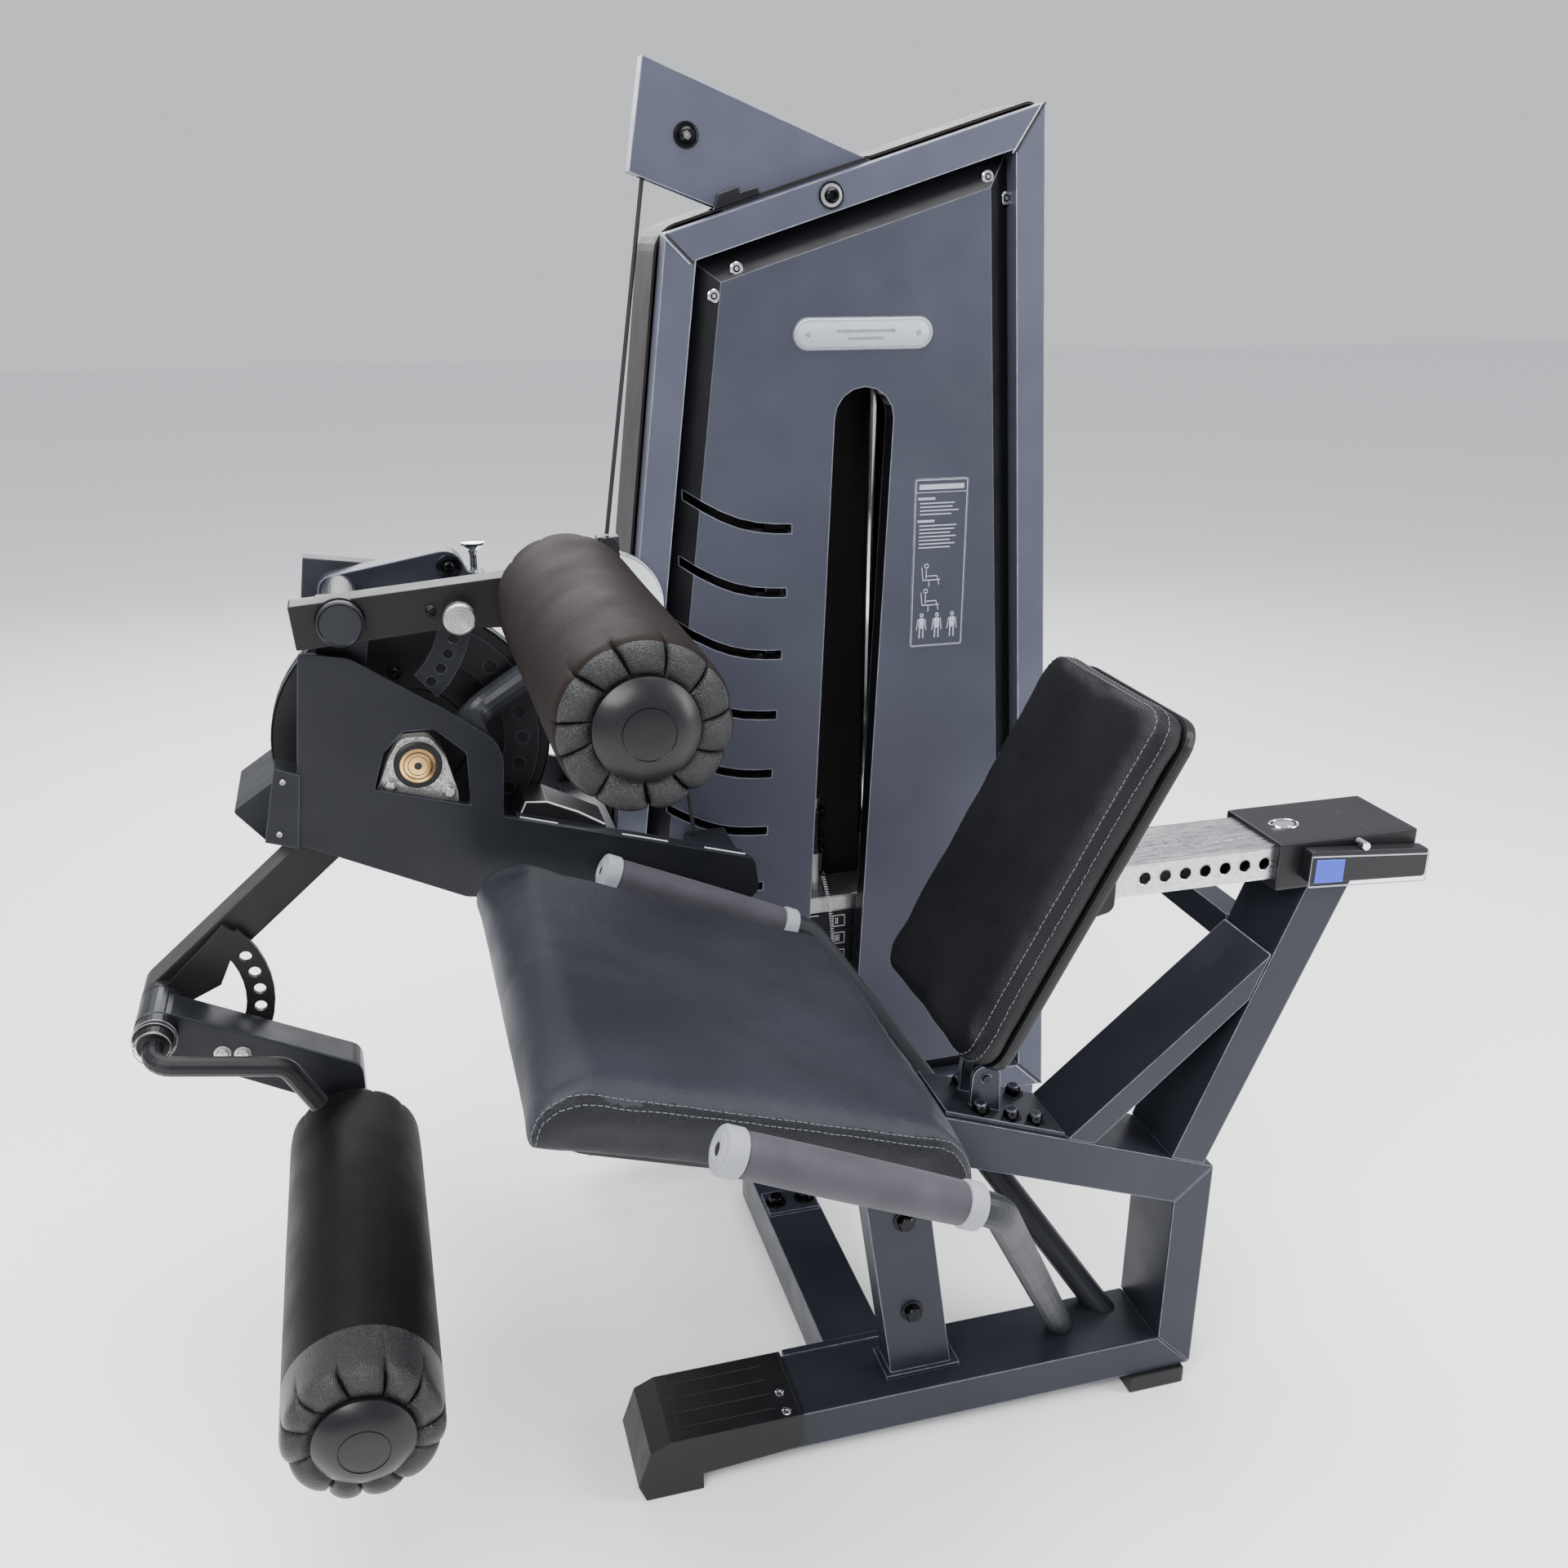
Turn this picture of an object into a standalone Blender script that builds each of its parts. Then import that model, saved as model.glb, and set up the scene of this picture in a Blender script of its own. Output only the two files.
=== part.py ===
"""Leg extension machine: lever arm with two rollers, seat, reclining back rest and weight tower.

Metres, +Z up. +X points from the foot end to the back rest, +Y from the seat to the weight tower.
The bench stands on the plane Y = 0. The last step moves the whole machine, so that the origin is
the centre of its footprint on the floor.
"""
import math

import bmesh
import bpy
from mathutils import Matrix, Vector

GAP = 0.0004            # between parts that touch
BEVEL = 0.0025          # rounded edge of a frame tube
STEPS = 6               # straight pieces in a rounded corner
SIDES = 40              # sides of a round part

# Bench frame
TUBE_HALF = 0.045       # half the width of every frame tube
BEAM_BOTTOM = 0.022
BEAM_TOP = 0.067
BEAM_FRONT = 0.24
POST_INNER = 0.785
POST_OUTER = 0.83
SEAT_SLOPE = 0.374      # fall of the seat for each metre towards the rear
SEAT_END_TOP = 0.291    # top of the seat beam at POST_OUTER
SEAT_BEAM_DEPTH = 0.0555
SEAT_BEAM_FRONT = 0.36
MAST_TOP = 0.62

# Seat, back rest and grips
PAD_FRONT = 0.074
PAD_REAR = 0.476
PAD_DEPTH = 0.052
PAD_FRONT_HALF = 0.24
PAD_REAR_HALF = 0.21
BOARD_DEPTH = 0.011
GRIP_Y = 0.275
GRIP_RADIUS = 0.0188
HANDLE_RADIUS = 0.0152
BACK_HINGE = (0.565, 0.0, 0.43)
BACK_BOTTOM = (0.490, 0.506)
BACK_TOP = (0.677, 0.855)
BACK_HALF = 0.121
BACK_PAD_DEPTH = 0.036
BACK_BOARD_DEPTH = 0.012
SLIDER_Z = (0.63, 0.667)
SLIDER_HALF = 0.041
SLIDER_X = (0.66, 0.955)
HOLE_PITCH = 0.0225
HOLE_COUNT = 11
FIRST_HOLE = 0.7125
HEAD_X = (0.858, 1.02)
HEAD_HALF = 0.05

# Moving arms
MAIN_AXIS = (0.0335, 0.0, 0.7125)
BOSS_AXIS = (-0.257, 0.0, 0.462)
THIGH_AXIS = (-0.03, 0.0, 0.879)
LOWER_ROLLER = (-0.071, 0.0, 0.30)
UPPER_ROLLER = (0.197, 0.0, 0.887)
LOWER_ROLLER_RADIUS = 0.069
UPPER_ROLLER_RADIUS = 0.0725
LOWER_SPAN = (-0.20, 0.25)
THIGH_ARM_SPAN = (0.288, 0.322)
UPPER_SPAN = (-0.15, 0.2845)
CAM_RADIUS = 0.152
CAM_SPAN = (0.392, 0.418)
KNOB_REACH = 0.1165

# Lever housing
PLATE_NEAR = 0.300
PLATE_FAR = 0.308
FAR_PLATE = (0.556, 0.564)

# Weight tower, cables and pulleys
TOWER_FACE = 0.42
TOWER_FRAME_BACK = 0.45
TOWER_BACK = 0.55
TOWER_OUTLINE = ((0.340, 1.245), (0.211, 0.11), (0.857, 0.11), (0.773, 1.382))
PLINTH_X = (0.455, 0.845)
PLINTH_TOP = 0.112
FRAME_BAND = 0.036
FIELD_INSET = 0.066
SLOT_X = 0.552
SLOT_LEAN = 0.038
SLOT_HALF = 0.0358
SLOT_Z = (0.22, 1.045)
CABLE_RADIUS = 0.0025
CABLE_Y = 0.405
BOOM_SPAN = (0.4535, 0.4785)
FLOAT_AXIS = (0.262, CABLE_Y, 0.85)
FLOAT_GROOVE = 0.055
BOOM_PULLEY = (0.372, 0.466, 1.343)
TOWER_PULLEY = (0.4945, 0.466, 1.25)
SMALL_GROOVE = 0.038
ROD_X = (0.464, 0.606)
STACK_X = (0.435, 0.635)
STACK_Y = (0.460, 0.530)
STACK_TOP = 0.425
PLATE_PITCH = 0.0255
LIFTED_PLATES = 3
RESTING_PLATES = 7

# Colours: red, green, blue, roughness, metallic
SLATE = (0.055, 0.06, 0.075, 0.45, 0.4)
BLACK_PAINT = (0.02, 0.021, 0.024, 0.45, 0.2)
PANEL = (0.12, 0.13, 0.17, 0.4, 0.4)
LEATHER = (0.03, 0.032, 0.04, 0.5, 0.0)
LEATHER_BROWN = (0.04, 0.034, 0.033, 0.6, 0.0)
RUBBER = (0.015, 0.015, 0.017, 0.7, 0.0)
GRIP_GREY = (0.09, 0.085, 0.1, 0.6, 0.0)
CHROME = (0.75, 0.76, 0.78, 0.15, 1.0)
STEEL = (0.5, 0.5, 0.52, 0.35, 1.0)
GOLD = (0.75, 0.5, 0.15, 0.3, 1.0)

MACHINE = None


# ---------------------------------------------------------------- building blocks

def clear_scene():
    for thing in list(bpy.data.objects):
        bpy.data.objects.remove(thing, do_unlink=True)


def rounded(outline, radius, steps=STEPS):
    """The (X, Z) outline with each corner turned into an arc of the given radius.

    radius is one number, or one number for each corner; zero keeps a corner sharp.
    """
    points = []
    count = len(outline)
    radii = radius if isinstance(radius, (list, tuple)) else [radius] * count
    for index, corner in enumerate(outline):
        here = Vector(corner)
        before = (Vector(outline[index - 1]) - here).normalized()
        after = (Vector(outline[(index + 1) % count]) - here).normalized()
        if radii[index] == 0:
            points.append(tuple(here))
            continue
        half_angle = before.angle(after) / 2
        reach = radii[index] / math.tan(half_angle)
        middle = here + (before + after).normalized() * (radii[index] / math.sin(half_angle))
        start = here + before * reach - middle
        end = here + after * reach - middle
        turn = start.angle_signed(end)
        for step in range(steps + 1):
            angle = -turn * step / steps
            points.append(tuple(middle + Matrix.Rotation(angle, 2) @ start))
    return points


def inset(outline, distance):
    """The convex outline with every side moved inwards by the distance."""
    middle = sum((Vector(point) for point in outline), Vector((0, 0))) / len(outline)
    sides = []
    for index, corner in enumerate(outline):
        start = Vector(corner)
        along = (Vector(outline[(index + 1) % len(outline)]) - start).normalized()
        normal = Vector((-along.y, along.x))
        if normal.dot(middle - start) < 0:
            normal = -normal
        sides.append((start + normal * distance, along))
    points = []
    for index, (start, along) in enumerate(sides):
        other_start, other_along = sides[index - 1]
        gap = other_start - start
        share = (gap.x * other_along.y - gap.y * other_along.x)
        share /= along.x * other_along.y - along.y * other_along.x
        points.append(tuple(start + along * share))
    return points


def prism(outline, near, far, bevel=0.0):
    """A block: the (X, Z) outline carried along Y from near to far."""
    bm = bmesh.new()
    front = [bm.verts.new((x, near, z)) for x, z in outline]
    back = [bm.verts.new((x, far, z)) for x, z in outline]
    bm.faces.new(front)
    bm.faces.new(back[::-1])
    for index in range(len(front)):
        after = (index + 1) % len(front)
        bm.faces.new((front[index], back[index], back[after], front[after]))
    bmesh.ops.recalc_face_normals(bm, faces=bm.faces)
    if bevel:
        sharp = [edge for edge in bm.edges if edge.calc_face_angle() > math.radians(30)]
        bmesh.ops.bevel(bm, geom=sharp, offset=bevel, segments=2, profile=0.7, affect="EDGES")
    return bm


def box(x, y, z, bevel=0.0):
    outline = ((x[0], z[0]), (x[1], z[0]), (x[1], z[1]), (x[0], z[1]))
    return prism(outline, y[0], y[1], bevel)


def spun(profile, axis="Y", at=(0.0, 0.0, 0.0), sides=SIDES):
    """A turned part. profile lists (distance along the axis, radius), closed on the axis or as a ring."""
    bm = bmesh.new()
    closed_ring = all(radius > 0 for _, radius in (profile[0], profile[-1]))
    rings = []
    for along, radius in profile:
        if radius == 0:
            rings.append([bm.verts.new((0, along, 0))])
            continue
        ring = []
        for side in range(sides):
            angle = 2 * math.pi * side / sides
            ring.append(bm.verts.new((radius * math.cos(angle), along, radius * math.sin(angle))))
        rings.append(ring)
    pairs = list(zip(rings, rings[1:]))
    if closed_ring:
        pairs.append((rings[-1], rings[0]))
    for one, two in pairs:
        for side in range(sides):
            after = (side + 1) % sides
            corners = [one[side % len(one)], two[side % len(two)], two[after % len(two)], one[after % len(one)]]
            face = list(dict.fromkeys(corners))
            bm.faces.new(face)
    turn = {"Y": Matrix.Identity(3), "Z": Matrix.Rotation(math.pi / 2, 3, "X"),
            "X": Matrix.Rotation(-math.pi / 2, 3, "Z")}[axis]
    bmesh.ops.rotate(bm, verts=bm.verts, matrix=turn)
    bmesh.ops.translate(bm, verts=bm.verts, vec=at)
    bmesh.ops.recalc_face_normals(bm, faces=bm.faces)
    return bm


def rod(radius, near, far, at, axis="Y", sides=SIDES, chamfer=0.0):
    """A round bar along an axis, from near to far, with optional chamfered ends."""
    profile = [(near, 0.0), (near, radius - chamfer), (near + chamfer, radius),
               (far - chamfer, radius), (far, radius - chamfer), (far, 0.0)]
    if chamfer == 0:
        profile = [(near, 0.0), (near, radius), (far, radius), (far, 0.0)]
    return spun(profile, axis, at, sides)


def sleeve(inner, outer, near, far, at, axis="Y", sides=SIDES):
    """A round tube along an axis, from near to far."""
    return spun([(near, inner), (near, outer), (far, outer), (far, inner)], axis, at, sides)


def swept(path, radius, sides=16, bend=0.0, inner=0.0):
    """A round bar, or a tube with an inner radius, along a path whose corners bend by the given radius."""
    points = bent_path([Vector(point) for point in path], bend)
    rings = []
    bm = bmesh.new()
    side_way = None
    for index, point in enumerate(points):
        before = points[index] - points[index - 1] if index else points[1] - points[0]
        after = points[index + 1] - point if index + 1 < len(points) else before
        along = (before.normalized() + after.normalized()).normalized()
        if side_way is None:
            side_way = along.orthogonal().normalized()
        side_way = (side_way - along * side_way.dot(along)).normalized()
        other_way = along.cross(side_way)
        circles = []
        for size in ([radius, inner] if inner else [radius]):
            circle = []
            for side in range(sides):
                angle = 2 * math.pi * side / sides
                arm = side_way * math.cos(angle) + other_way * math.sin(angle)
                circle.append(bm.verts.new(point + arm * size))
            circles.append(circle)
        rings.append(circles)
    for one, two in zip(rings, rings[1:]):
        for circle_one, circle_two in zip(one, two):
            for side in range(sides):
                after = (side + 1) % sides
                bm.faces.new((circle_one[side], circle_one[after], circle_two[after], circle_two[side]))
    for circles in (rings[0], rings[-1]):
        if not inner:
            bm.faces.new(circles[0])
            continue
        for side in range(sides):
            after = (side + 1) % sides
            bm.faces.new((circles[0][side], circles[0][after], circles[1][after], circles[1][side]))
    bmesh.ops.recalc_face_normals(bm, faces=bm.faces)
    return bm


def bent_path(points, bend):
    """The path with an arc of the bend radius in place of each inner corner."""
    if bend == 0:
        return points
    result = [points[0]]
    for before, here, after in zip(points, points[1:], points[2:]):
        back = (before - here).normalized()
        ahead = (after - here).normalized()
        half_angle = back.angle(ahead) / 2
        reach = bend / math.tan(half_angle)
        middle = here + (back + ahead).normalized() * (bend / math.sin(half_angle))
        start = here + back * reach - middle
        end = here + ahead * reach - middle
        axis = start.cross(end)
        turn = start.angle(end)
        for step in range(STEPS + 1):
            result.append(middle + Matrix.Rotation(turn * step / STEPS, 3, axis) @ start)
    result.append(points[-1])
    return result


def combined(base, other, operation):
    """The base solid after a Boolean with the other solid; both are used up."""
    objects = []
    for bm in (base, other):
        mesh = bpy.data.meshes.new("solid")
        bm.to_mesh(mesh)
        bm.free()
        thing = bpy.data.objects.new("solid", mesh)
        bpy.context.collection.objects.link(thing)
        objects.append(thing)
    modifier = objects[0].modifiers.new("boolean", "BOOLEAN")
    modifier.operation = operation
    modifier.solver = "EXACT"
    modifier.object = objects[1]
    evaluated = objects[0].evaluated_get(bpy.context.evaluated_depsgraph_get())
    result = bmesh.new()
    result.from_mesh(evaluated.to_mesh())
    for thing in objects:
        bpy.data.objects.remove(thing, do_unlink=True)
    bmesh.ops.remove_doubles(result, verts=result.verts, dist=0.000002)
    return result


def cut(base, *cutters):
    for cutter in cutters:
        base = combined(base, cutter, "DIFFERENCE")
    return base


def together(solids):
    """Several solids that don't touch, as one cutter."""
    whole = bmesh.new()
    for solid in solids:
        mesh = bpy.data.meshes.new("cutter")
        solid.to_mesh(mesh)
        solid.free()
        whole.from_mesh(mesh)
        bpy.data.meshes.remove(mesh)
    return whole


def joined(base, *others):
    for other in others:
        base = combined(base, other, "UNION")
    return base


def part(name, bm, look, pivot=(0.0, 0.0, 0.0)):
    """Makes the named object with its own material; its origin is the pivot, on the joint's axis."""
    bmesh.ops.translate(bm, verts=bm.verts, vec=-Vector(pivot))
    mesh = bpy.data.meshes.new(name)
    bm.to_mesh(mesh)
    bm.free()
    mesh.shade_smooth()
    mesh.set_sharp_from_angle(angle=math.radians(32))
    thing = bpy.data.objects.new(name, mesh)
    bpy.context.collection.objects.link(thing)
    thing.location = pivot
    thing.parent = MACHINE
    material = bpy.data.materials.new(name)
    material.use_nodes = True
    shader = material.node_tree.nodes["Principled BSDF"]
    shader.inputs["Base Color"].default_value = (*look[:3], 1.0)
    shader.inputs["Roughness"].default_value = look[3]
    shader.inputs["Metallic"].default_value = look[4]
    mesh.materials.append(material)
    return thing


# ---------------------------------------------------------------- bench frame

def beam_top(x):
    return SEAT_END_TOP + SEAT_SLOPE * (POST_OUTER - x)


def beam_bottom(x):
    return beam_top(x) - SEAT_BEAM_DEPTH


def base_beam():
    outline = ((BEAM_FRONT, BEAM_BOTTOM), (POST_OUTER - GAP, BEAM_BOTTOM),
               (POST_INNER - GAP, BEAM_TOP), (BEAM_FRONT, BEAM_TOP))
    part("base_beam", prism(outline, -TUBE_HALF, TUBE_HALF, BEVEL), SLATE)


def front_foot_cap():
    """A moulded hood over the front end of the base beam, with the front foot below it."""
    side = TUBE_HALF + 0.004
    outline = ((0.19, 0.0), (0.252, 0.0), (0.252, 0.02), (0.362, 0.028), (0.362, 0.0715),
               (0.218, 0.0715), (0.196, 0.062), (0.182, 0.02))
    hood = prism(outline, -side, side, 0.002)
    pocket_half = TUBE_HALF + GAP
    beam = ((BEAM_FRONT - GAP, BEAM_BOTTOM - GAP), (0.38, BEAM_BOTTOM - GAP),
            (0.38, BEAM_TOP + GAP), (BEAM_FRONT - GAP, BEAM_TOP + GAP))
    hood = cut(hood, prism(beam, -pocket_half, pocket_half))
    hood = cut(hood, box((0.2525, 0.4), (-pocket_half, pocket_half), (-0.01, 0.04)))
    part("front_foot_cap", hood, BLACK_PAINT)


def rear_foot():
    part("rear_foot", box((0.752, 0.82), (-0.05, 0.05), (0.0, BEAM_BOTTOM - GAP), BEVEL), BLACK_PAINT)


def rear_post():
    outline = ((POST_INNER, BEAM_TOP + GAP), (POST_OUTER, BEAM_BOTTOM + GAP),
               (POST_OUTER, SEAT_END_TOP - GAP), (POST_INNER, beam_bottom(POST_INNER) - GAP))
    part("rear_post", prism(outline, -TUBE_HALF, TUBE_HALF, BEVEL), SLATE)


def seat_beam():
    outline = ((SEAT_BEAM_FRONT, beam_bottom(SEAT_BEAM_FRONT)), (POST_INNER, beam_bottom(POST_INNER)),
               (POST_OUTER, SEAT_END_TOP), (SEAT_BEAM_FRONT, beam_top(SEAT_BEAM_FRONT)))
    part("seat_beam", prism(outline, -TUBE_HALF, TUBE_HALF, BEVEL), SLATE)


def front_post():
    """The short post under the seat; it leans forwards."""
    foot_plate = ((0.464, BEAM_TOP + GAP), (0.55, BEAM_TOP + GAP), (0.55, 0.0725), (0.464, 0.0725))
    plate = prism(foot_plate, -0.023, 0.023, 0.001)
    base = 0.0715
    lean = -0.15
    outline = [(0.471, base), (0.541, base)]
    for x in (0.541, 0.471):
        top = (beam_bottom(x - lean * base) - GAP) / (1 - SEAT_SLOPE * -lean)
        outline.append((x + lean * (top - base), top - 0.0006))
    part("front_post", joined(prism(outline, -0.018, 0.018, 0.0015), plate), SLATE)


def mast():
    front_lean = (0.9 - 0.776) / (MAST_TOP - beam_top(0.776))
    outline = ((0.776, beam_top(0.776) + GAP), (0.817, beam_top(0.817) + GAP),
               (0.952, MAST_TOP), (0.776 + front_lean * (MAST_TOP - beam_top(0.776)), MAST_TOP))
    tie = box((0.868, 0.898), (TUBE_HALF - 0.002, 0.53), (0.515, 0.55))
    part("mast", joined(prism(outline, -TUBE_HALF, TUBE_HALF, BEVEL), tie), SLATE)


def rear_brace():
    """The slanting tube between the seat beam and the mast."""
    outline = ((0.6495, beam_top(0.6495) + GAP), (0.681, beam_top(0.681) + GAP),
               (0.8475, 0.494), (0.8680, 0.5447))
    part("rear_brace", prism(outline, -TUBE_HALF, TUBE_HALF, 0.002), SLATE)


def floor_tie():
    """The tube on the floor that ties the bench to the weight tower, with its bolting flange."""
    tube = box((0.415, 0.487), (0.053, TOWER_FACE - GAP), (0.008, BEAM_TOP), 0.002)
    plate = box((0.418, 0.484), (0.288, 0.332), (BEAM_TOP - 0.001, BEAM_TOP + 0.004))
    for x in (0.432, 0.470):
        plate = joined(plate, rod(0.0075, BEAM_TOP, BEAM_TOP + 0.012, (x, 0.310, 0.0), "Z", 12, 0.001))
    flange = box((0.366, 0.5), (TUBE_HALF + GAP, 0.0551), (0.02, BEAM_TOP), 0.001)
    part("floor_tie", joined(tube, flange, plate), SLATE)


def seat_plate():
    """The bolted plate on the seat beam that carries the back rest hinge."""
    front = 0.512
    back = 0.648
    lift = 0.005
    outline = ((front, beam_top(front) + GAP), (back, beam_top(back) + GAP),
               (back, beam_top(back) + lift), (front, beam_top(front) + lift))
    plate = prism(outline, -0.040, 0.040, 0.0008)
    for x, y in ((0.555, -0.028), (0.555, 0.028), (0.618, -0.028), (0.618, 0.028), (0.59, -0.028)):
        plate = joined(plate, rod(0.0065, 0.0, 0.013, (x, y, beam_top(x) + 0.0035), "Z", 12, 0.001))
    hinge_x, _, hinge_z = BACK_HINGE
    for side in (-1, 1):
        lug = rounded(((hinge_x - 0.017, beam_top(hinge_x - 0.017) + 0.002),
                       (hinge_x + 0.017, beam_top(hinge_x + 0.017) + 0.002),
                       (hinge_x + 0.015, hinge_z + 0.015), (hinge_x - 0.015, hinge_z + 0.015)),
                      (0.0, 0.0, 0.013, 0.013))
        near, far = sorted((side * 0.0125, side * 0.0175))
        plate = joined(plate, prism(lug, near, far))
    plate = cut(plate, rod(0.0052, -0.03, 0.03, BACK_HINGE, "Y", 20))
    part("seat_plate", plate, SLATE)


# ---------------------------------------------------------------- seat and grips

def pad_top(x):
    return beam_top(x) + BOARD_DEPTH + PAD_DEPTH + 0.0028


def seat():
    """The tapering pad on its board; both follow the slope of the seat beam."""
    tilt = math.atan(SEAT_SLOPE)

    def slab(front, rear, front_half, rear_half, lift, depth, corner, bevel):
        corners = ((front, -front_half), (rear, -rear_half), (rear, rear_half), (front, front_half))
        flat = prism(rounded(corners, corner), 0.0, depth, bevel)
        bmesh.ops.rotate(flat, verts=flat.verts, matrix=Matrix.Rotation(-math.pi / 2, 3, "X"))
        for vert in flat.verts:
            x, y, z = vert.co
            vert.co = (x, y, beam_top(x) + lift - z)
        bmesh.ops.recalc_face_normals(flat, faces=flat.faces)
        return flat

    board = slab(PAD_FRONT + 0.02, PAD_REAR - 0.01, PAD_FRONT_HALF - 0.02, PAD_REAR_HALF - 0.02,
                 GAP + BOARD_DEPTH / math.cos(tilt), -BOARD_DEPTH / math.cos(tilt), 0.03, 0.0)
    part("seat_board", board, BLACK_PAINT)
    pad = slab(PAD_FRONT, PAD_REAR, PAD_FRONT_HALF, PAD_REAR_HALF,
               pad_top(0.0) - beam_top(0.0), -PAD_DEPTH, (0.045, 0.05, 0.05, 0.045), 0.012)
    part("seat_pad", pad, LEATHER)


def handles():
    """One bent tube on each side, with a grip between two collars on its straight top end."""
    front = Vector((0.222, 0.0, 0.580))
    rear = Vector((0.44, 0.0, 0.483))
    along = (rear - front).normalized()
    turn = rear + along * 0.025
    for name, side, foot_x, foot_y in (("near", -1, 0.687, 0.008), ("far", 1, 0.745, 0.026)):
        out = Vector((0.0, side * GRIP_Y, 0.0))
        foot = Vector((foot_x, foot_y, BEAM_TOP))
        below = foot + (foot - (turn + out)).normalized() * 0.04
        tube = swept((front + out, turn + out, below), HANDLE_RADIUS, 16, 0.04)
        tube = cut(tube, box((0.6, 0.85), (-0.1, 0.1), (-0.1, BEAM_TOP + GAP)))
        part(f"handle_tube_{name}", tube, SLATE)
        start = front + out - along * 0.002
        profile = [(0.0, HANDLE_RADIUS + GAP), (0.0, GRIP_RADIUS + 0.002), (0.018, GRIP_RADIUS + 0.002),
                   (0.019, GRIP_RADIUS), (0.226, GRIP_RADIUS), (0.227, GRIP_RADIUS + 0.002),
                   (0.243, GRIP_RADIUS + 0.002), (0.243, HANDLE_RADIUS + GAP)]
        grip = spun(profile, "X", (0.0, 0.0, 0.0), 28)
        tilt = Matrix.Rotation(math.atan2(-along.z, along.x), 4, "Y")
        bmesh.ops.transform(grip, matrix=Matrix.Translation(start) @ tilt, verts=grip.verts)
        part(f"grip_{name}", grip, GRIP_GREY)


# ---------------------------------------------------------------- back rest and its slider

def back_rest():
    bottom = Vector(BACK_BOTTOM)
    top = Vector(BACK_TOP)
    along = (top - bottom).normalized()
    behind = Vector((along.y, -along.x))
    length = (top - bottom).length

    def slab(start, end, half, near, far, corner, bevel):
        corners = ((start, -half), (end, -half), (end, half), (start, half))
        flat = prism(rounded(corners, corner), near, far, bevel)
        for vert in flat.verts:
            up, back, side = vert.co
            spot = bottom + along * up + behind * back
            vert.co = (spot.x, side, spot.y)
        bmesh.ops.recalc_face_normals(flat, faces=flat.faces)
        return flat

    pad = slab(0.0, length, BACK_HALF, 0.0, BACK_PAD_DEPTH, 0.03, 0.008)
    part("back_pad", pad, LEATHER, BACK_HINGE)
    board_near = BACK_PAD_DEPTH + GAP
    board_far = board_near + BACK_BOARD_DEPTH
    board = slab(0.006, length - 0.006, BACK_HALF - 0.008, board_near, board_far, 0.028, 0.004)
    part("back_board", board, BLACK_PAINT, BACK_HINGE)
    # bracket: a plate on the board, an arm down to the hinge and two cheeks beside the slider
    plate_near = board_far + GAP
    bracket = slab(0.03, 0.235, 0.0505, plate_near, plate_near + 0.004, 0.004, 0.0)
    arm_low = bottom + along * 0.035 + behind * (plate_near + 0.002)
    arm_high = bottom + along * 0.095 + behind * (plate_near + 0.002)
    hinge = Vector((BACK_HINGE[0], BACK_HINGE[2]))
    arm = rounded((tuple(arm_low), (hinge.x - 0.013, hinge.y - 0.012),
                   (hinge.x + 0.013, hinge.y - 0.012), tuple(arm_high)), (0.0, 0.011, 0.011, 0.0))
    bracket = joined(bracket, prism(arm, -0.0095, 0.0095))
    bracket = joined(bracket, rod(0.0048, -0.021, 0.021, BACK_HINGE, "Y", 20))
    for side in (-1, 1):
        root_low = bottom + along * 0.14 + behind * (plate_near + 0.002)
        root_high = bottom + along * 0.215 + behind * (plate_near + 0.002)
        cheek = rounded((tuple(root_low), (0.676, 0.622), (0.676, 0.678), tuple(root_high)),
                        (0.0, 0.01, 0.01, 0.0))
        near, far = sorted((side * 0.0455, side * 0.0500))
        bracket = joined(bracket, prism(cheek, near, far))
    part("back_bracket", bracket, BLACK_PAINT, BACK_HINGE)


def slider():
    """The punched chrome tube that slides through the head on the mast."""
    low, high = SLIDER_Z
    wall = 0.003
    tube = box(SLIDER_X, (-SLIDER_HALF, SLIDER_HALF), SLIDER_Z, 0.003)
    hollow = box((SLIDER_X[0] - 0.01, SLIDER_X[1] + 0.01), (-SLIDER_HALF + wall, SLIDER_HALF - wall),
                 (low + wall, high - wall))
    tube = cut(tube, hollow)
    middle = (low + high) / 2
    holes = []
    for hole in range(HOLE_COUNT):
        spot = (FIRST_HOLE + HOLE_PITCH * hole, 0.0, middle)
        holes.append(rod(0.0065, -SLIDER_HALF - 0.01, -SLIDER_HALF + 0.01, spot, "Y", 16))
    part("slider_tube", cut(tube, together(holes)), CHROME)
    head = box(HEAD_X, (-HEAD_HALF, HEAD_HALF), (MAST_TOP + GAP, 0.6715), 0.003)
    clearance = 0.0006
    bore = box((HEAD_X[0] - 0.01, HEAD_X[1] - 0.008), (-SLIDER_HALF - clearance, SLIDER_HALF + clearance),
               (low - clearance, high + clearance))
    pin_x = FIRST_HOLE + HOLE_PITCH * (HOLE_COUNT - 1)
    pin_hole = rod(0.0056, -HEAD_HALF - 0.01, -SLIDER_HALF + 0.005, (pin_x, 0.0, middle), "Y", 16)
    head = cut(head, bore, pin_hole)
    part("slider_head", head, BLACK_PAINT)
    handle_outline = rounded(((0.884, 0.632), (1.024, 0.624), (1.024, 0.656), (0.884, 0.667)), 0.004)
    handle = prism(handle_outline, -0.066, -HEAD_HALF - 0.0015, 0.002)
    pin = rod(0.0052, -HEAD_HALF - 0.003, -SLIDER_HALF - GAP, (pin_x, 0.0, middle), "Y", 16, 0.0008)
    part("release_handle", joined(handle, pin), BLACK_PAINT, (pin_x, 0.0, middle))


# ---------------------------------------------------------------- lever housing

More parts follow.
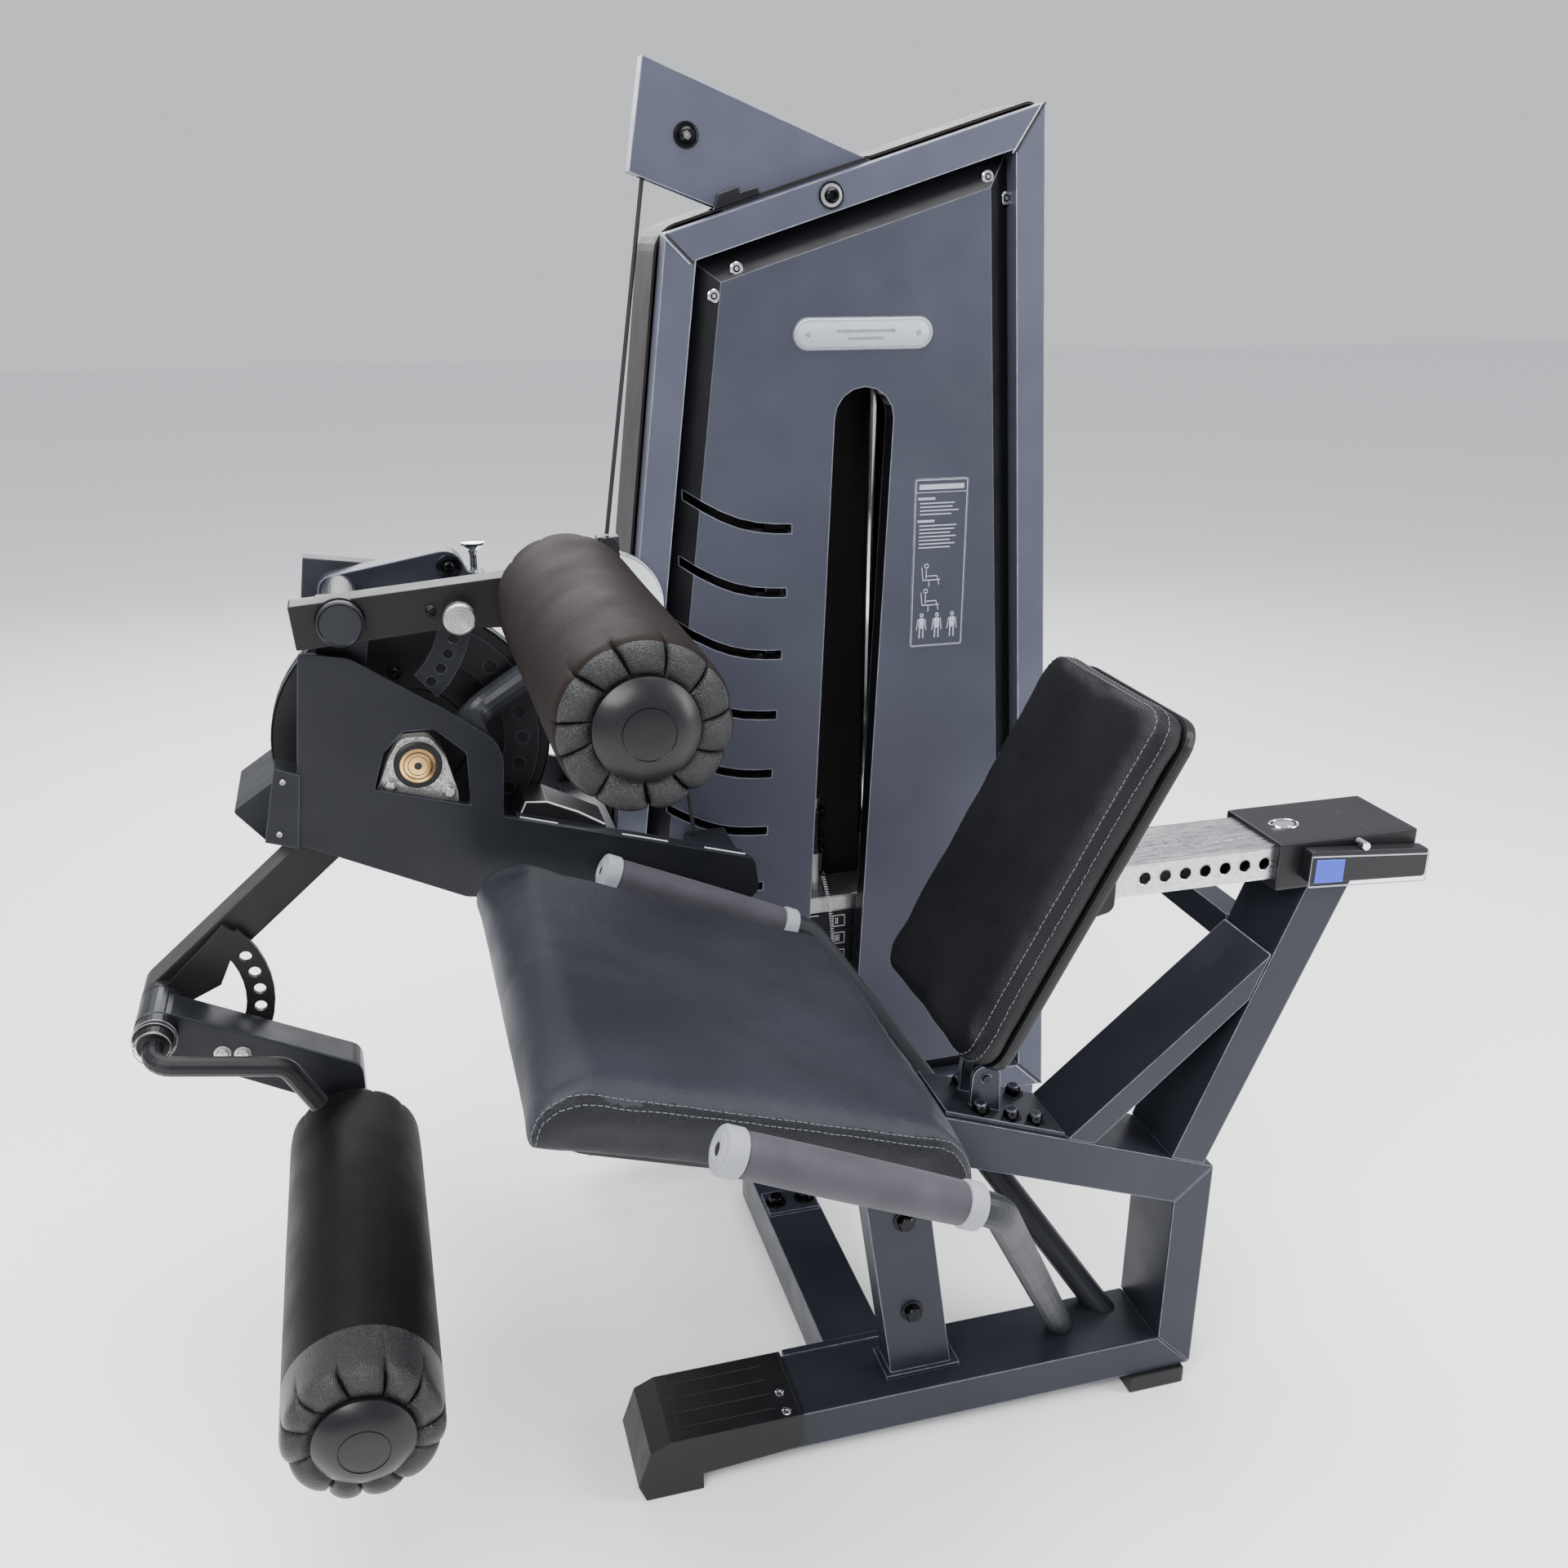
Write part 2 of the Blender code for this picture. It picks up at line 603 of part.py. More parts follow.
HOUSING = ((-0.075, 0.846), (-0.098, 0.639), (0.073, 0.556), (0.411, 0.511), (0.404, 0.564),
           (0.119, 0.647), (0.125, 0.73), (0.064, 0.776), (-0.026, 0.837))
HOUSING_ROUNDS = (0.004, 0.004, 0.02, 0.015, 0.012, 0.003, 0.045, 0.02, 0.02)


def pillow_outline(x, z):
    """The foot and the round head of a pillow block around the axis at (x, z)."""
    return rounded(((x - 0.044, z - 0.04), (x + 0.040, z - 0.048), (x + 0.040, z - 0.036),
                    (x + 0.030, z + 0.004), (x + 0.014, z + 0.030), (x - 0.016, z + 0.030),
                    (x - 0.030, z + 0.008), (x - 0.044, z - 0.028)),
                   (0.002, 0.002, 0.002, 0.012, 0.012, 0.012, 0.012, 0.002), 3)


def housing():
    x, _, z = MAIN_AXIS
    window = rounded(((x - 0.047, z - 0.021), (x + 0.052, z - 0.049), (x + 0.052, z + 0.012),
                      (x + 0.02, z + 0.042), (x - 0.012, z + 0.042), (x - 0.035, z + 0.02)),
                     (0.002, 0.004, 0.02, 0.02, 0.015, 0.01), 4)
    plate = prism(rounded(HOUSING, HOUSING_ROUNDS, 4), PLATE_NEAR, PLATE_FAR, 0.001)
    plate = cut(plate, prism(window, PLATE_NEAR - 0.01, PLATE_FAR + 0.01))
    strip = ((0.135, 0.6375), (0.395, 0.562), (0.395, 0.565), (0.135, 0.6405))
    weld = PLATE_FAR - 0.001
    plate = joined(plate, prism(strip, weld, 0.327))
    plate = joined(plate, box((0.21, 0.255), (weld, FAR_PLATE[0] - GAP), (0.548, 0.585)))
    plate = joined(plate, box((0.345, 0.395), (weld, TOWER_FACE - GAP), (0.522, 0.556)))
    bracket = ((-0.1115, 0.727), (-0.129, 0.646), (-0.0965, 0.6355), (-0.0865, 0.717))
    plate = joined(plate, prism(bracket, 0.296, 0.326))
    part("housing_near_plate", plate, SLATE)
    far_outline = ((-0.075, 0.846), (-0.098, 0.639), (0.073, 0.556), (0.262, 0.531), (0.262, 0.605),
                   (0.119, 0.647), (0.125, 0.73), (0.064, 0.776), (-0.026, 0.837))
    far_plate = prism(rounded(far_outline, HOUSING_ROUNDS, 4), *FAR_PLATE, 0.001)
    far_plate = cut(far_plate, rod(0.0125, 0.5, 0.6, MAIN_AXIS, "Y", 24))
    wedge = ((-0.170, 0.636), (-0.122, 0.668), (-0.083, 0.652), (-0.136, 0.594))
    stop = prism(rounded(wedge, 0.004, 3), 0.425, FAR_PLATE[0] + 0.001)
    part("housing_far_plate", joined(far_plate, stop), SLATE)
    tray = rounded(((0.128, 0.618), (0.232, 0.588), (0.236, 0.615), (0.17, 0.650), (0.145, 0.652)), 0.004, 3)
    part("housing_tray", prism(tray, 0.3275, 0.385, 0.002), BLACK_PAINT)
    pillow = prism(pillow_outline(x, z), 0.3125, 0.3285, 0.0008)
    pillow = joined(pillow, rod(0.0262, 0.3110, 0.3280, MAIN_AXIS, "Y", 32))
    part("pillow_block", cut(pillow, rod(0.0126, 0.30, 0.34, MAIN_AXIS, "Y", 28)), STEEL)


def thigh_support():
    """The fixed tube that the thigh arms turn in, its bracket and the row of stop holes."""
    x, _, z = THIGH_AXIS
    near = THIGH_ARM_SPAN[1] + GAP
    far = near + 0.006
    outline = [(x - 0.035, z - 0.10), (x + 0.012, z - 0.10), (x + 0.028, z - 0.016)]
    for degrees in range(-10, -47, -9):
        angle = math.radians(degrees)
        outline.append((x + 0.099 * math.cos(angle), z + 0.099 * math.sin(angle)))
    for degrees in range(-47, 13, 9):
        angle = math.radians(degrees)
        outline.append((x + 0.133 * math.cos(angle), z + 0.133 * math.sin(angle)))
    outline += [(x + 0.02, z + 0.02), (x - 0.022, z + 0.02)]
    bracket = prism(outline, near, far)
    holes = []
    for step in range(6):
        angle = math.radians(-8.6 * step)
        spot = (x + KNOB_REACH * math.cos(angle), 0.0, z + KNOB_REACH * math.sin(angle))
        holes.append(rod(0.0056, 0.30, 0.33, spot, "Y", 14))
    bracket = cut(bracket, together(holes))
    for spot in ((x - 0.024, 0.0, z - 0.084), (x + 0.001, 0.0, z - 0.084)):
        bracket = joined(bracket, rod(0.007, PLATE_FAR + GAP, near + 0.001, spot, "Y", 16))
    bracket = joined(bracket, rod(0.019, far - 0.001, CAM_SPAN[1] + 0.0005, THIGH_AXIS, "Y", 32))
    part("thigh_bracket", cut(bracket, rod(0.0125, 0.30, 0.44, THIGH_AXIS, "Y", 28)), SLATE)


def brace_tube():
    """The bent tube from the housing to the weight tower."""
    path = ((0.093, PLATE_FAR + GAP, 0.742), (0.093, 0.37, 0.742), (0.2, 0.37, 0.809),
            (0.29, 0.37, 0.645), (0.29, TOWER_FACE - GAP, 0.645))
    part("housing_brace_tube", swept(path, 0.0165, 16, 0.03), SLATE)


# ---------------------------------------------------------------- lever and rollers

def arc_band(centre, inner, outer, angles):
    """The (X, Z) outline between two arcs about the centre; angles are in degrees."""
    points = []
    for radius, run in ((outer, angles), (inner, reversed(angles))):
        for degrees in run:
            angle = math.radians(degrees)
            points.append((centre[0] + radius * math.cos(angle), centre[1] + radius * math.sin(angle)))
    return points


def lever():
    x, _, z = MAIN_AXIS
    boss_x, _, boss_z = BOSS_AXIS
    shaft = spun([(0.3045, 0.0), (0.305, 0.012), (0.306, 0.019), (0.3105, 0.019), (0.3105, 0.0122),
                  (0.575, 0.0122), (0.575, 0.0)], "Y", MAIN_AXIS, 32)
    part("main_shaft", shaft, GOLD, MAIN_AXIS)
    groove = CAM_RADIUS - 0.005
    near, far = CAM_SPAN
    middle = (near + far) / 2
    cam = spun([(near, 0.0126), (near, CAM_RADIUS), (middle - 0.004, CAM_RADIUS), (middle, groove),
                (middle + 0.004, CAM_RADIUS), (far, CAM_RADIUS), (far, 0.0126)], "Y", MAIN_AXIS, 64)
    sector = prism(arc_band((x, z), 0.100, 0.139, range(-60, 61, 10)), near - 0.004, near + 0.001)
    holes = []
    for degrees in range(-48, 43, 15):
        angle = math.radians(degrees)
        spot = (x + 0.12 * math.cos(angle), 0.0, z + 0.12 * math.sin(angle))
        holes.append(rod(0.0075, near - 0.02, near + 0.01, spot, "Y", 14))
    sector = cut(sector, together(holes))
    part("cam_disc", joined(cam, sector), BLACK_PAINT, MAIN_AXIS)
    along = Vector((boss_x - x, boss_z - z)).normalized()
    across = Vector((-along.y, along.x)) * 0.0205
    ends = (Vector((x, z)) - along * 0.03, Vector((boss_x, boss_z)) + along * 0.022)
    outline = [tuple(ends[0] + across), tuple(ends[1] + across), tuple(ends[1] - across),
               tuple(ends[0] - across)]
    arm = prism(rounded(outline, (0.018, 0.018, 0.018, 0.018), 4), 0.330, 0.3795, 0.002)
    arm = joined(arm, rod(0.034, 0.3785, 0.3872, MAIN_AXIS, "Y", 32))
    arm = cut(arm, rod(0.0126, 0.3, 0.41, MAIN_AXIS, "Y", 28))
    arm = cut(arm, rod(0.0095, 0.3, 0.41, BOSS_AXIS, "Y", 20))
    stop_band = arc_band((boss_x, boss_z), 0.086, 0.116, range(-22, 43, 8))
    stop_plate = prism(stop_band, 0.3185, 0.3245)
    web = ((boss_x + 0.004, boss_z + 0.018), (boss_x + 0.018, boss_z - 0.006),
           (boss_x + 0.062, boss_z + 0.014), (boss_x + 0.088, boss_z + 0.070), (boss_x + 0.072, boss_z + 0.084))
    stop_plate = joined(stop_plate, prism(web, 0.3185, 0.3245))
    stop_plate = joined(stop_plate, sleeve(0.0095, 0.0225, 0.3185, 0.3310, BOSS_AXIS, "Y", 28))
    holes = []
    for degrees in range(26, -11, -12):
        angle = math.radians(degrees)
        spot = (boss_x + 0.101 * math.cos(angle), 0.0, boss_z + 0.101 * math.sin(angle))
        holes.append(rod(0.0065, 0.3, 0.34, spot, "Y", 14))
    stop_plate = cut(stop_plate, together(holes))
    part("lever_arm", joined(arm, stop_plate), SLATE, MAIN_AXIS)


def roller_arm():
    boss_x, _, boss_z = BOSS_AXIS
    roller_x, _, roller_z = LOWER_ROLLER
    near = 0.2585
    far = 0.3035
    top = ((boss_x + 0.004, boss_z + 0.024), (boss_x - 0.018, boss_z - 0.018), (roller_x - 0.03, 0.348),
           (roller_x - 0.018, roller_z - 0.012), (roller_x + 0.016, roller_z - 0.012),
           (roller_x + 0.016, 0.388))
    arm = prism(rounded(top, (0.014, 0.014, 0.02, 0.012, 0.012, 0.018), 4), near, far, 0.002)
    arm = joined(arm, rod(0.0225, near, far + 0.0145, BOSS_AXIS, "Y", 28, 0.0012))
    arm = joined(arm, rod(0.0090, far, 0.392, BOSS_AXIS, "Y", 20, 0.0008))
    arm = cut(arm, rod(0.0116, 0.2, 0.34, LOWER_ROLLER, "Y", 24))
    part("roller_arm", arm, SLATE, BOSS_AXIS)
    rings = spun([(near - 0.032, 0.0), (near - 0.032, 0.016), (near - 0.026, 0.0185), (near - 0.018, 0.0185),
                  (near - 0.018, 0.0215), (near - GAP, 0.0215), (near - GAP, 0.0)], "Y", BOSS_AXIS, 28)
    handle = swept(((boss_x, near - 0.022, boss_z), (boss_x, 0.196, boss_z - 0.006),
                    (roller_x - 0.058, 0.196, 0.435), (roller_x - 0.03, 0.196, 0.385)), 0.0105, 14, 0.02)
    part("roller_release_handle", joined(rings, handle), BLACK_PAINT, BOSS_AXIS)


def roller(name, centre, span, radius, look):
    """A thick soft roller; its shaft carries a domed cap over the near end."""
    near, far = span
    soft = spun([(near, 0.0116), (near, radius - 0.014), (near + 0.014, radius),
                 (far - 0.014, radius), (far, radius - 0.014), (far, 0.0116)], "Y", centre, 48)
    part(f"{name}_pad", soft, look, centre)
    cap = spun([(near - 0.017, 0.0), (near - 0.016, 0.020), (near - 0.0115, 0.033),
                (near - 0.0048, 0.042), (near - GAP, 0.042), (near - GAP, 0.0112),
                (far + 0.036, 0.0112), (far + 0.036, 0.0)], "Y", centre, 40)
    part(f"{name}_cap", cap, BLACK_PAINT, centre)


def thigh_arm():
    x, _, z = THIGH_AXIS
    roller_x, _, roller_z = UPPER_ROLLER
    near, far = THIGH_ARM_SPAN
    outline = ((-0.079, 0.897), (-0.075, 0.8515), (0.070, 0.864), (0.19, 0.860), (0.222, 0.868),
               (0.222, 0.922))
    arm = prism(rounded(outline, (0.002, 0.002, 0.01, 0.01, 0.02, 0.02), 3), near, far, 0.0015)
    arm = cut(arm, rod(0.0116, 0.2, 0.34, UPPER_ROLLER, "Y", 24))
    arm = cut(arm, rod(0.0122, 0.2, 0.34, THIGH_AXIS, "Y", 24))
    knob_spot = (x + KNOB_REACH, 0.0, z)
    arm = cut(arm, rod(0.0057, 0.2, 0.34, knob_spot, "Y", 16))
    arm = joined(arm, rod(0.006, near - 0.005, near + 0.003, (0.059, 0.0, 0.885), "Y", 12, 0.001))
    part("thigh_arm", arm, SLATE, THIGH_AXIS)
    shaft = rod(0.0118, near - 0.004, 0.482, THIGH_AXIS, "Y", 24, 0.001)
    cap = rod(0.0235, near - 0.014, near - GAP, THIGH_AXIS, "Y", 32, 0.002)
    block = prism(((-0.072, 0.868), (0.008, 0.858), (0.012, 0.9017), (-0.0656, 0.9124)), 0.453, 0.478, 0.0015)
    part("thigh_shaft", joined(shaft, cap, block), SLATE, THIGH_AXIS)
    far_outline = rounded(((x - 0.024, z - 0.022), (0.128, 0.868), (0.128, 0.890), (0.108, 0.894),
                           (0.097, 0.921), (x - 0.022, z + 0.016)), (0.02, 0.004, 0.004, 0.004, 0.022, 0.016), 4)
    far_arm = prism(far_outline, 0.4215, 0.4525, 0.002)
    far_arm = joined(far_arm, rod(0.018, 0.4189, 0.423, THIGH_AXIS, "Y", 24))
    far_arm = cut(far_arm, rod(0.0122, 0.40, 0.46, THIGH_AXIS, "Y", 24))
    plunger_spot = (0.1165, 0.437, 0.0)
    far_arm = cut(far_arm, rod(0.0046, 0.85, 0.96, plunger_spot, "Z", 14))
    part("thigh_far_arm", far_arm, SLATE, THIGH_AXIS)
    stem = spun([(0.864, 0.0), (0.864, 0.0042), (0.909, 0.0042), (0.915, 0.006), (0.9205, 0.0135),
                 (0.9235, 0.0135), (0.9245, 0.0)], "Z", plunger_spot, 20)
    part("thigh_plunger", stem, CHROME, plunger_spot)
    knob = spun([(near - 0.025, 0.0), (near - 0.0245, 0.0145), (near - 0.0225, 0.0165),
                 (near - 0.012, 0.0165), (near - 0.010, 0.012), (near - 0.0006, 0.010),
                 (near - 0.0006, 0.0052), (far - GAP, 0.0052), (far - GAP, 0.0)], "Y", knob_spot, 28)
    part("thigh_knob", knob, STEEL, knob_spot)


# ---------------------------------------------------------------- weight tower

def border(outline, band, near, far):
    """A flat frame whose sides are as wide as the band."""
    hole = prism(inset(outline, band), near - 0.01, far + 0.01)
    return cut(prism(outline, near, far, 0.002), hole)


def slot_x(z):
    """The slot leans a little; this is its middle at a height."""
    return SLOT_X + SLOT_LEAN * (z - 0.6)


def vent(left, right, z_left, z_right):
    """A slot that bows downwards, as a band of even height."""
    half = 0.0055
    bow = 0.012
    top = []
    low = []
    for step in range(7):
        share = step / 6
        x = left + (right - left) * share
        z = z_left + (z_right - z_left) * share - bow * math.sin(math.pi * share)
        top.append((x, z + half))
        low.append((x, z - half))
    return prism(low + top[::-1], TOWER_FACE - 0.02, TOWER_FRAME_BACK + 0.02)


def tower():
    outline = TOWER_OUTLINE
    front = border(outline, FRAME_BAND, TOWER_FACE, TOWER_FRAME_BACK)
    plinth = box(PLINTH_X, (TOWER_FACE + 0.002, TOWER_FACE + 0.028), (0.0, PLINTH_TOP), 0.003)
    part("tower_front_frame", joined(front, plinth), PANEL)
    back = inset(outline, FRAME_BAND + GAP)
    field = inset(outline, FIELD_INSET)
    panel = bmesh.new()
    layers = []
    for points, y in ((back, TOWER_FRAME_BACK - 0.001), (back, TOWER_FRAME_BACK - 0.005),
                      (field, TOWER_FACE + 0.002)):
        layers.append([panel.verts.new((x, y, z)) for x, z in points])
    panel.faces.new(layers[0])
    panel.faces.new(layers[-1])
    for one, two in zip(layers, layers[1:]):
        for index in range(len(one)):
            after = (index + 1) % len(one)
            panel.faces.new((one[index], one[after], two[after], two[index]))
    bmesh.ops.recalc_face_normals(panel, faces=panel.faces)
    low, high = SLOT_Z
    arch = [(slot_x(low) - SLOT_HALF, low), (slot_x(low) + SLOT_HALF, low)]
    for step in range(9):
        angle = math.pi * step / 8
        arch.append((slot_x(high) + SLOT_HALF * math.cos(angle), high + SLOT_HALF * math.sin(angle)))
    panel = cut(panel, prism(arch, TOWER_FACE - 0.02, TOWER_FRAME_BACK + 0.02))
    vents = []
    for row in range(7):
        z_right = 0.922 - 0.0755 * row
        right = 0.482 - 0.006 * row
        vents.append(vent(right - 0.126, right, z_right + 0.043, z_right))
    panel = cut(panel, together(vents))
    face = TOWER_FACE + 0.002
    badge = rounded(((0.483, 1.122), (0.649, 1.122), (0.649, 1.157), (0.483, 1.157)), 0.0174, 8)
    placard = rounded(((0.634, 0.768), (0.702, 0.768), (0.702, 0.973), (0.634, 0.973)), 0.003, 3)
    panel = joined(panel, prism(badge, face - 0.0015, face + 0.001), prism(placard, face - 0.0008, face + 0.001))
    part("tower_front_panel", panel, PANEL)
    shell = rounded(inset(outline, -0.005), (0.035, 0.004, 0.004, 0.012), 5)
    hollow = rounded(inset(outline, -0.002), (0.032, 0.002, 0.002, 0.009), 5)
    skin = prism(shell, TOWER_FRAME_BACK + GAP, TOWER_BACK)
    skin = cut(skin, prism(hollow, TOWER_FRAME_BACK - 0.02, TOWER_BACK - 0.003))
    boom_room = ((0.325, 1.422), (0.306, 1.304), (0.623, 1.186), (0.623, 1.309))
    skin = cut(skin, prism(boom_room, BOOM_SPAN[0] - 0.002, BOOM_SPAN[1] + 0.002))
    plinth = box(PLINTH_X, (TOWER_BACK - 0.03, TOWER_BACK - 0.002), (0.0, PLINTH_TOP - 0.005), 0.003)
    part("tower_shell", joined(skin, plinth), PANEL)


def boom():
    outline = ((0.327, 1.419), (0.309, 1.306), (0.402, 1.272), (0.62, 1.19), (0.62, 1.306))
    plate = prism(outline, *BOOM_SPAN, 0.001)
    pulley_room = ((0.3155, 1.25), (0.58, 1.15), (0.58, 1.312), (0.329, 1.41))
    wall = 0.0035
    plate = cut(plate, prism(pulley_room, BOOM_SPAN[0] + wall, BOOM_SPAN[1] - wall))
    for spot in (BOOM_PULLEY, TOWER_PULLEY):
        hole = (spot[0], 0.0, spot[2])
        plate = cut(plate, rod(0.0062, 0.4, 0.52, hole, "Y", 16))
    part("boom", plate, PANEL)
    for name, spot in (("boom", BOOM_PULLEY), ("tower", TOWER_PULLEY)):
        half = 0.0075
        wheel = spun([(-half, 0.0), (-half, SMALL_GROOVE + 0.006), (-0.002, SMALL_GROOVE),
                      (0.002, SMALL_GROOVE), (half, SMALL_GROOVE + 0.006), (half, 0.0)], "Y", spot, 36)
        axle = rod(0.0058, -0.0155, 0.0155, spot, "Y", 16)
        part(f"{name}_pulley", joined(wheel, axle), STEEL, spot)


def float_pulley():
    x, y, z = FLOAT_AXIS
    half = 0.008
    wheel = spun([(-half, 0.0064), (-half, FLOAT_GROOVE + 0.006), (-0.002, FLOAT_GROOVE),
                  (0.002, FLOAT_GROOVE), (half, FLOAT_GROOVE + 0.006), (half, 0.0064)], "Y", FLOAT_AXIS, 48)
    part("float_pulley", wheel, CHROME, FLOAT_AXIS)
    strap = rounded(((x - 0.012, z - 0.014), (x + 0.012, z - 0.014), (x + 0.012, z + 0.079),
                     (x - 0.012, z + 0.079)), 0.01, 4)
    block = prism(strap, y + half + 0.0008, y + half + 0.0048)
    block = joined(block, prism(strap, y - half - 0.0048, y - half - 0.0008))
    block = joined(block, box((x - 0.012, x + 0.012), (y - half - 0.002, y + half + 0.002),
                              (z + FLOAT_GROOVE + 0.011, z + 0.079)))
    block = joined(block, rod(0.006, y - half - 0.006, y + half + 0.006, (x, 0.0, z), "Y", 20))
    part("float_block", block, BLACK_PAINT, FLOAT_AXIS)


def cables():
    x, y, z = FLOAT_AXIS
    boom_x, boom_y, boom_z = BOOM_PULLEY
    tower_x, _, tower_z = TOWER_PULLEY
    reach = SMALL_GROOVE + CABLE_RADIUS + 0.0003
    drop_top = (boom_x - reach, boom_y, boom_z)
    drop_low = (x, y, z + 0.0805)
    part("drop_cable", swept((drop_top, drop_low), CABLE_RADIUS, 8), RUBBER)
    stack_middle = (STACK_X[0] + STACK_X[1]) / 2
    part("stack_cable", swept(((tower_x + reach, boom_y, tower_z - 0.0008),
                               (stack_middle, 0.495, STACK_TOP + 0.1306)), CABLE_RADIUS, 8), RUBBER)
    wrap = FLOAT_GROOVE + CABLE_RADIUS + 0.0004
    arc = []
    for step in range(17):
        angle = math.pi * step / 16
        arc.append((x + wrap * math.cos(angle), y, z + wrap * math.sin(angle)))
    part("lift_cable_wrap", swept(arc, CABLE_RADIUS, 8), RUBBER, FLOAT_AXIS)
    cam_right = MAIN_AXIS[0] + CAM_RADIUS + 0.0035
    part("lift_cable_pull", swept(((x - wrap, y, z - 0.0005), (cam_right, y, MAIN_AXIS[2])),
                                  CABLE_RADIUS, 8), RUBBER)
    part("lift_cable_anchor", swept(((x + wrap, y, z - 0.0005), (x + wrap + 0.035, y, 0.5575)),
                                    CABLE_RADIUS, 8), RUBBER)


def weight_plates(count, top, x, y):
    """Plates in one pack, with a shallow seam between them and holes for the guide rods."""
    bottom = top - PLATE_PITCH * count
    pack = box(x, y, (bottom, top - 0.0004), 0.002)
    for seam in range(1, count):
        z = top - PLATE_PITCH * seam
        around = box((x[0] - 0.01, x[1] + 0.01), (y[0] - 0.01, y[1] + 0.01), (z - 0.001, z + 0.001))
        core = box((x[0] + 0.004, x[1] - 0.004), (y[0] + 0.004, y[1] - 0.004), (z - 0.01, z + 0.01))
        pack = cut(pack, cut(around, core))
    middle = (y[0] + y[1]) / 2
    for rod_x in ROD_X:
        pack = cut(pack, rod(0.0095, bottom - 0.01, top + 0.01, (rod_x, middle, 0.0), "Z", 16))
    return pack


def weights():
    middle_x = (STACK_X[0] + STACK_X[1]) / 2
    middle_y = (STACK_Y[0] + STACK_Y[1]) / 2
    lifted = weight_plates(LIFTED_PLATES, STACK_TOP - 0.024, STACK_X, STACK_Y)
    pin_z = STACK_TOP - 0.024 - PLATE_PITCH * (LIFTED_PLATES - 0.5)
    lifted = cut(lifted, rod(0.0052, STACK_Y[0] - 0.01, middle_y + 0.002, (middle_x, 0.0, pin_z), "Y", 16))
    lifted = cut(lifted, rod(0.0128, 0.1, STACK_TOP + 0.01, (middle_x, middle_y, 0.0), "Z", 20))
    part("lifted_weights", lifted, BLACK_PAINT)
    rest_top = STACK_TOP - 0.024 - PLATE_PITCH * LIFTED_PLATES - 0.0006
    resting = weight_plates(RESTING_PLATES, rest_top, STACK_X, STACK_Y)
    resting = cut(resting, rod(0.0135, 0.0, STACK_TOP, (middle_x, middle_y, 0.0), "Z", 20))
    part("resting_weights", resting, BLACK_PAINT)
    head = box(STACK_X, STACK_Y, (STACK_TOP - 0.0235, STACK_TOP), 0.003)
    for rod_x in ROD_X:
        head = cut(head, rod(0.0095, 0.1, STACK_TOP + 0.02, (rod_x, middle_y, 0.0), "Z", 16))
    stem = spun([(0.2, 0.0), (0.2, 0.012), (STACK_TOP + 0.06, 0.012), (STACK_TOP + 0.065, 0.008),
                 (STACK_TOP + 0.129, 0.008), (STACK_TOP + 0.13, 0.0)], "Z", (middle_x, middle_y, 0.0), 20)
    head = joined(head, stem)
    head = cut(head, rod(0.0052, STACK_Y[0] - 0.01, middle_y + 0.002, (middle_x, 0.0, pin_z), "Y", 16))
    part("selector_stem", head, STEEL)
    pin = spun([(STACK_Y[0] - 0.034, 0.0), (STACK_Y[0] - 0.034, 0.011), (STACK_Y[0] - 0.006, 0.011),
                (STACK_Y[0] - 0.004, 0.0047), (middle_y, 0.0047), (middle_y, 0.0)],
               "Y", (middle_x, 0.0, pin_z), 20)
    part("selector_pin", pin, STEEL, (middle_x, middle_y, pin_z))
    floor_z = rest_top - PLATE_PITCH * RESTING_PLATES - GAP
    shelf = box((0.425, 0.645), (TOWER_FRAME_BACK + 0.001, TOWER_BACK - 0.0035), (floor_z - 0.033, floor_z))
    for rod_x in ROD_X:
        shelf = joined(shelf, rod(0.0088, floor_z - 0.006, 1.17, (rod_x, middle_y, 0.0), "Z", 16))
    part("guide_rods", shelf, CHROME)


def settle():
    """Moves the machine so that the origin is the middle of its footprint, on the floor."""
    bpy.context.view_layer.update()
    lows = [math.inf] * 3
    highs = [-math.inf] * 3
    for thing in bpy.data.objects:
        if thing.type != "MESH":
            continue
        for vert in thing.data.vertices:
            spot = thing.matrix_world @ vert.co
            for axis in range(3):
                lows[axis] = min(lows[axis], spot[axis])
                highs[axis] = max(highs[axis], spot[axis])
    MACHINE.location = (-(lows[0] + highs[0]) / 2, -(lows[1] + highs[1]) / 2, -lows[2])
    bpy.context.view_layer.update()


def build():
    global MACHINE
    clear_scene()
    MACHINE = bpy.data.objects.new("machine", None)
    bpy.context.collection.objects.link(MACHINE)
    base_beam()
    front_foot_cap()
    rear_foot()
    rear_post()
    seat_beam()
    front_post()
    mast()
    rear_brace()
    floor_tie()
    seat_plate()
    seat()
    handles()
    back_rest()
    slider()
    housing()
    thigh_support()
    brace_tube()
    lever()
    roller_arm()
    roller("lower_roller", LOWER_ROLLER, LOWER_SPAN, LOWER_ROLLER_RADIUS, LEATHER)
    thigh_arm()
    roller("upper_roller", UPPER_ROLLER, UPPER_SPAN, UPPER_ROLLER_RADIUS, LEATHER_BROWN)
    tower()
    boom()
    float_pulley()
    cables()
    weights()
    settle()


build()
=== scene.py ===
"""Looks of the leg extension machine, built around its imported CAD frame.

Lengths are metres. Details are placed in the bench frame: +X to the rear, +Y to the weight tower, +Z up,
with Y = 0 in the middle of the bench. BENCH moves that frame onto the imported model's row frame.
"""
import math
import random

import bmesh
import bpy
import numpy as np
from mathutils import Matrix, Vector, noise
from mathutils.bvhtree import BVHTree


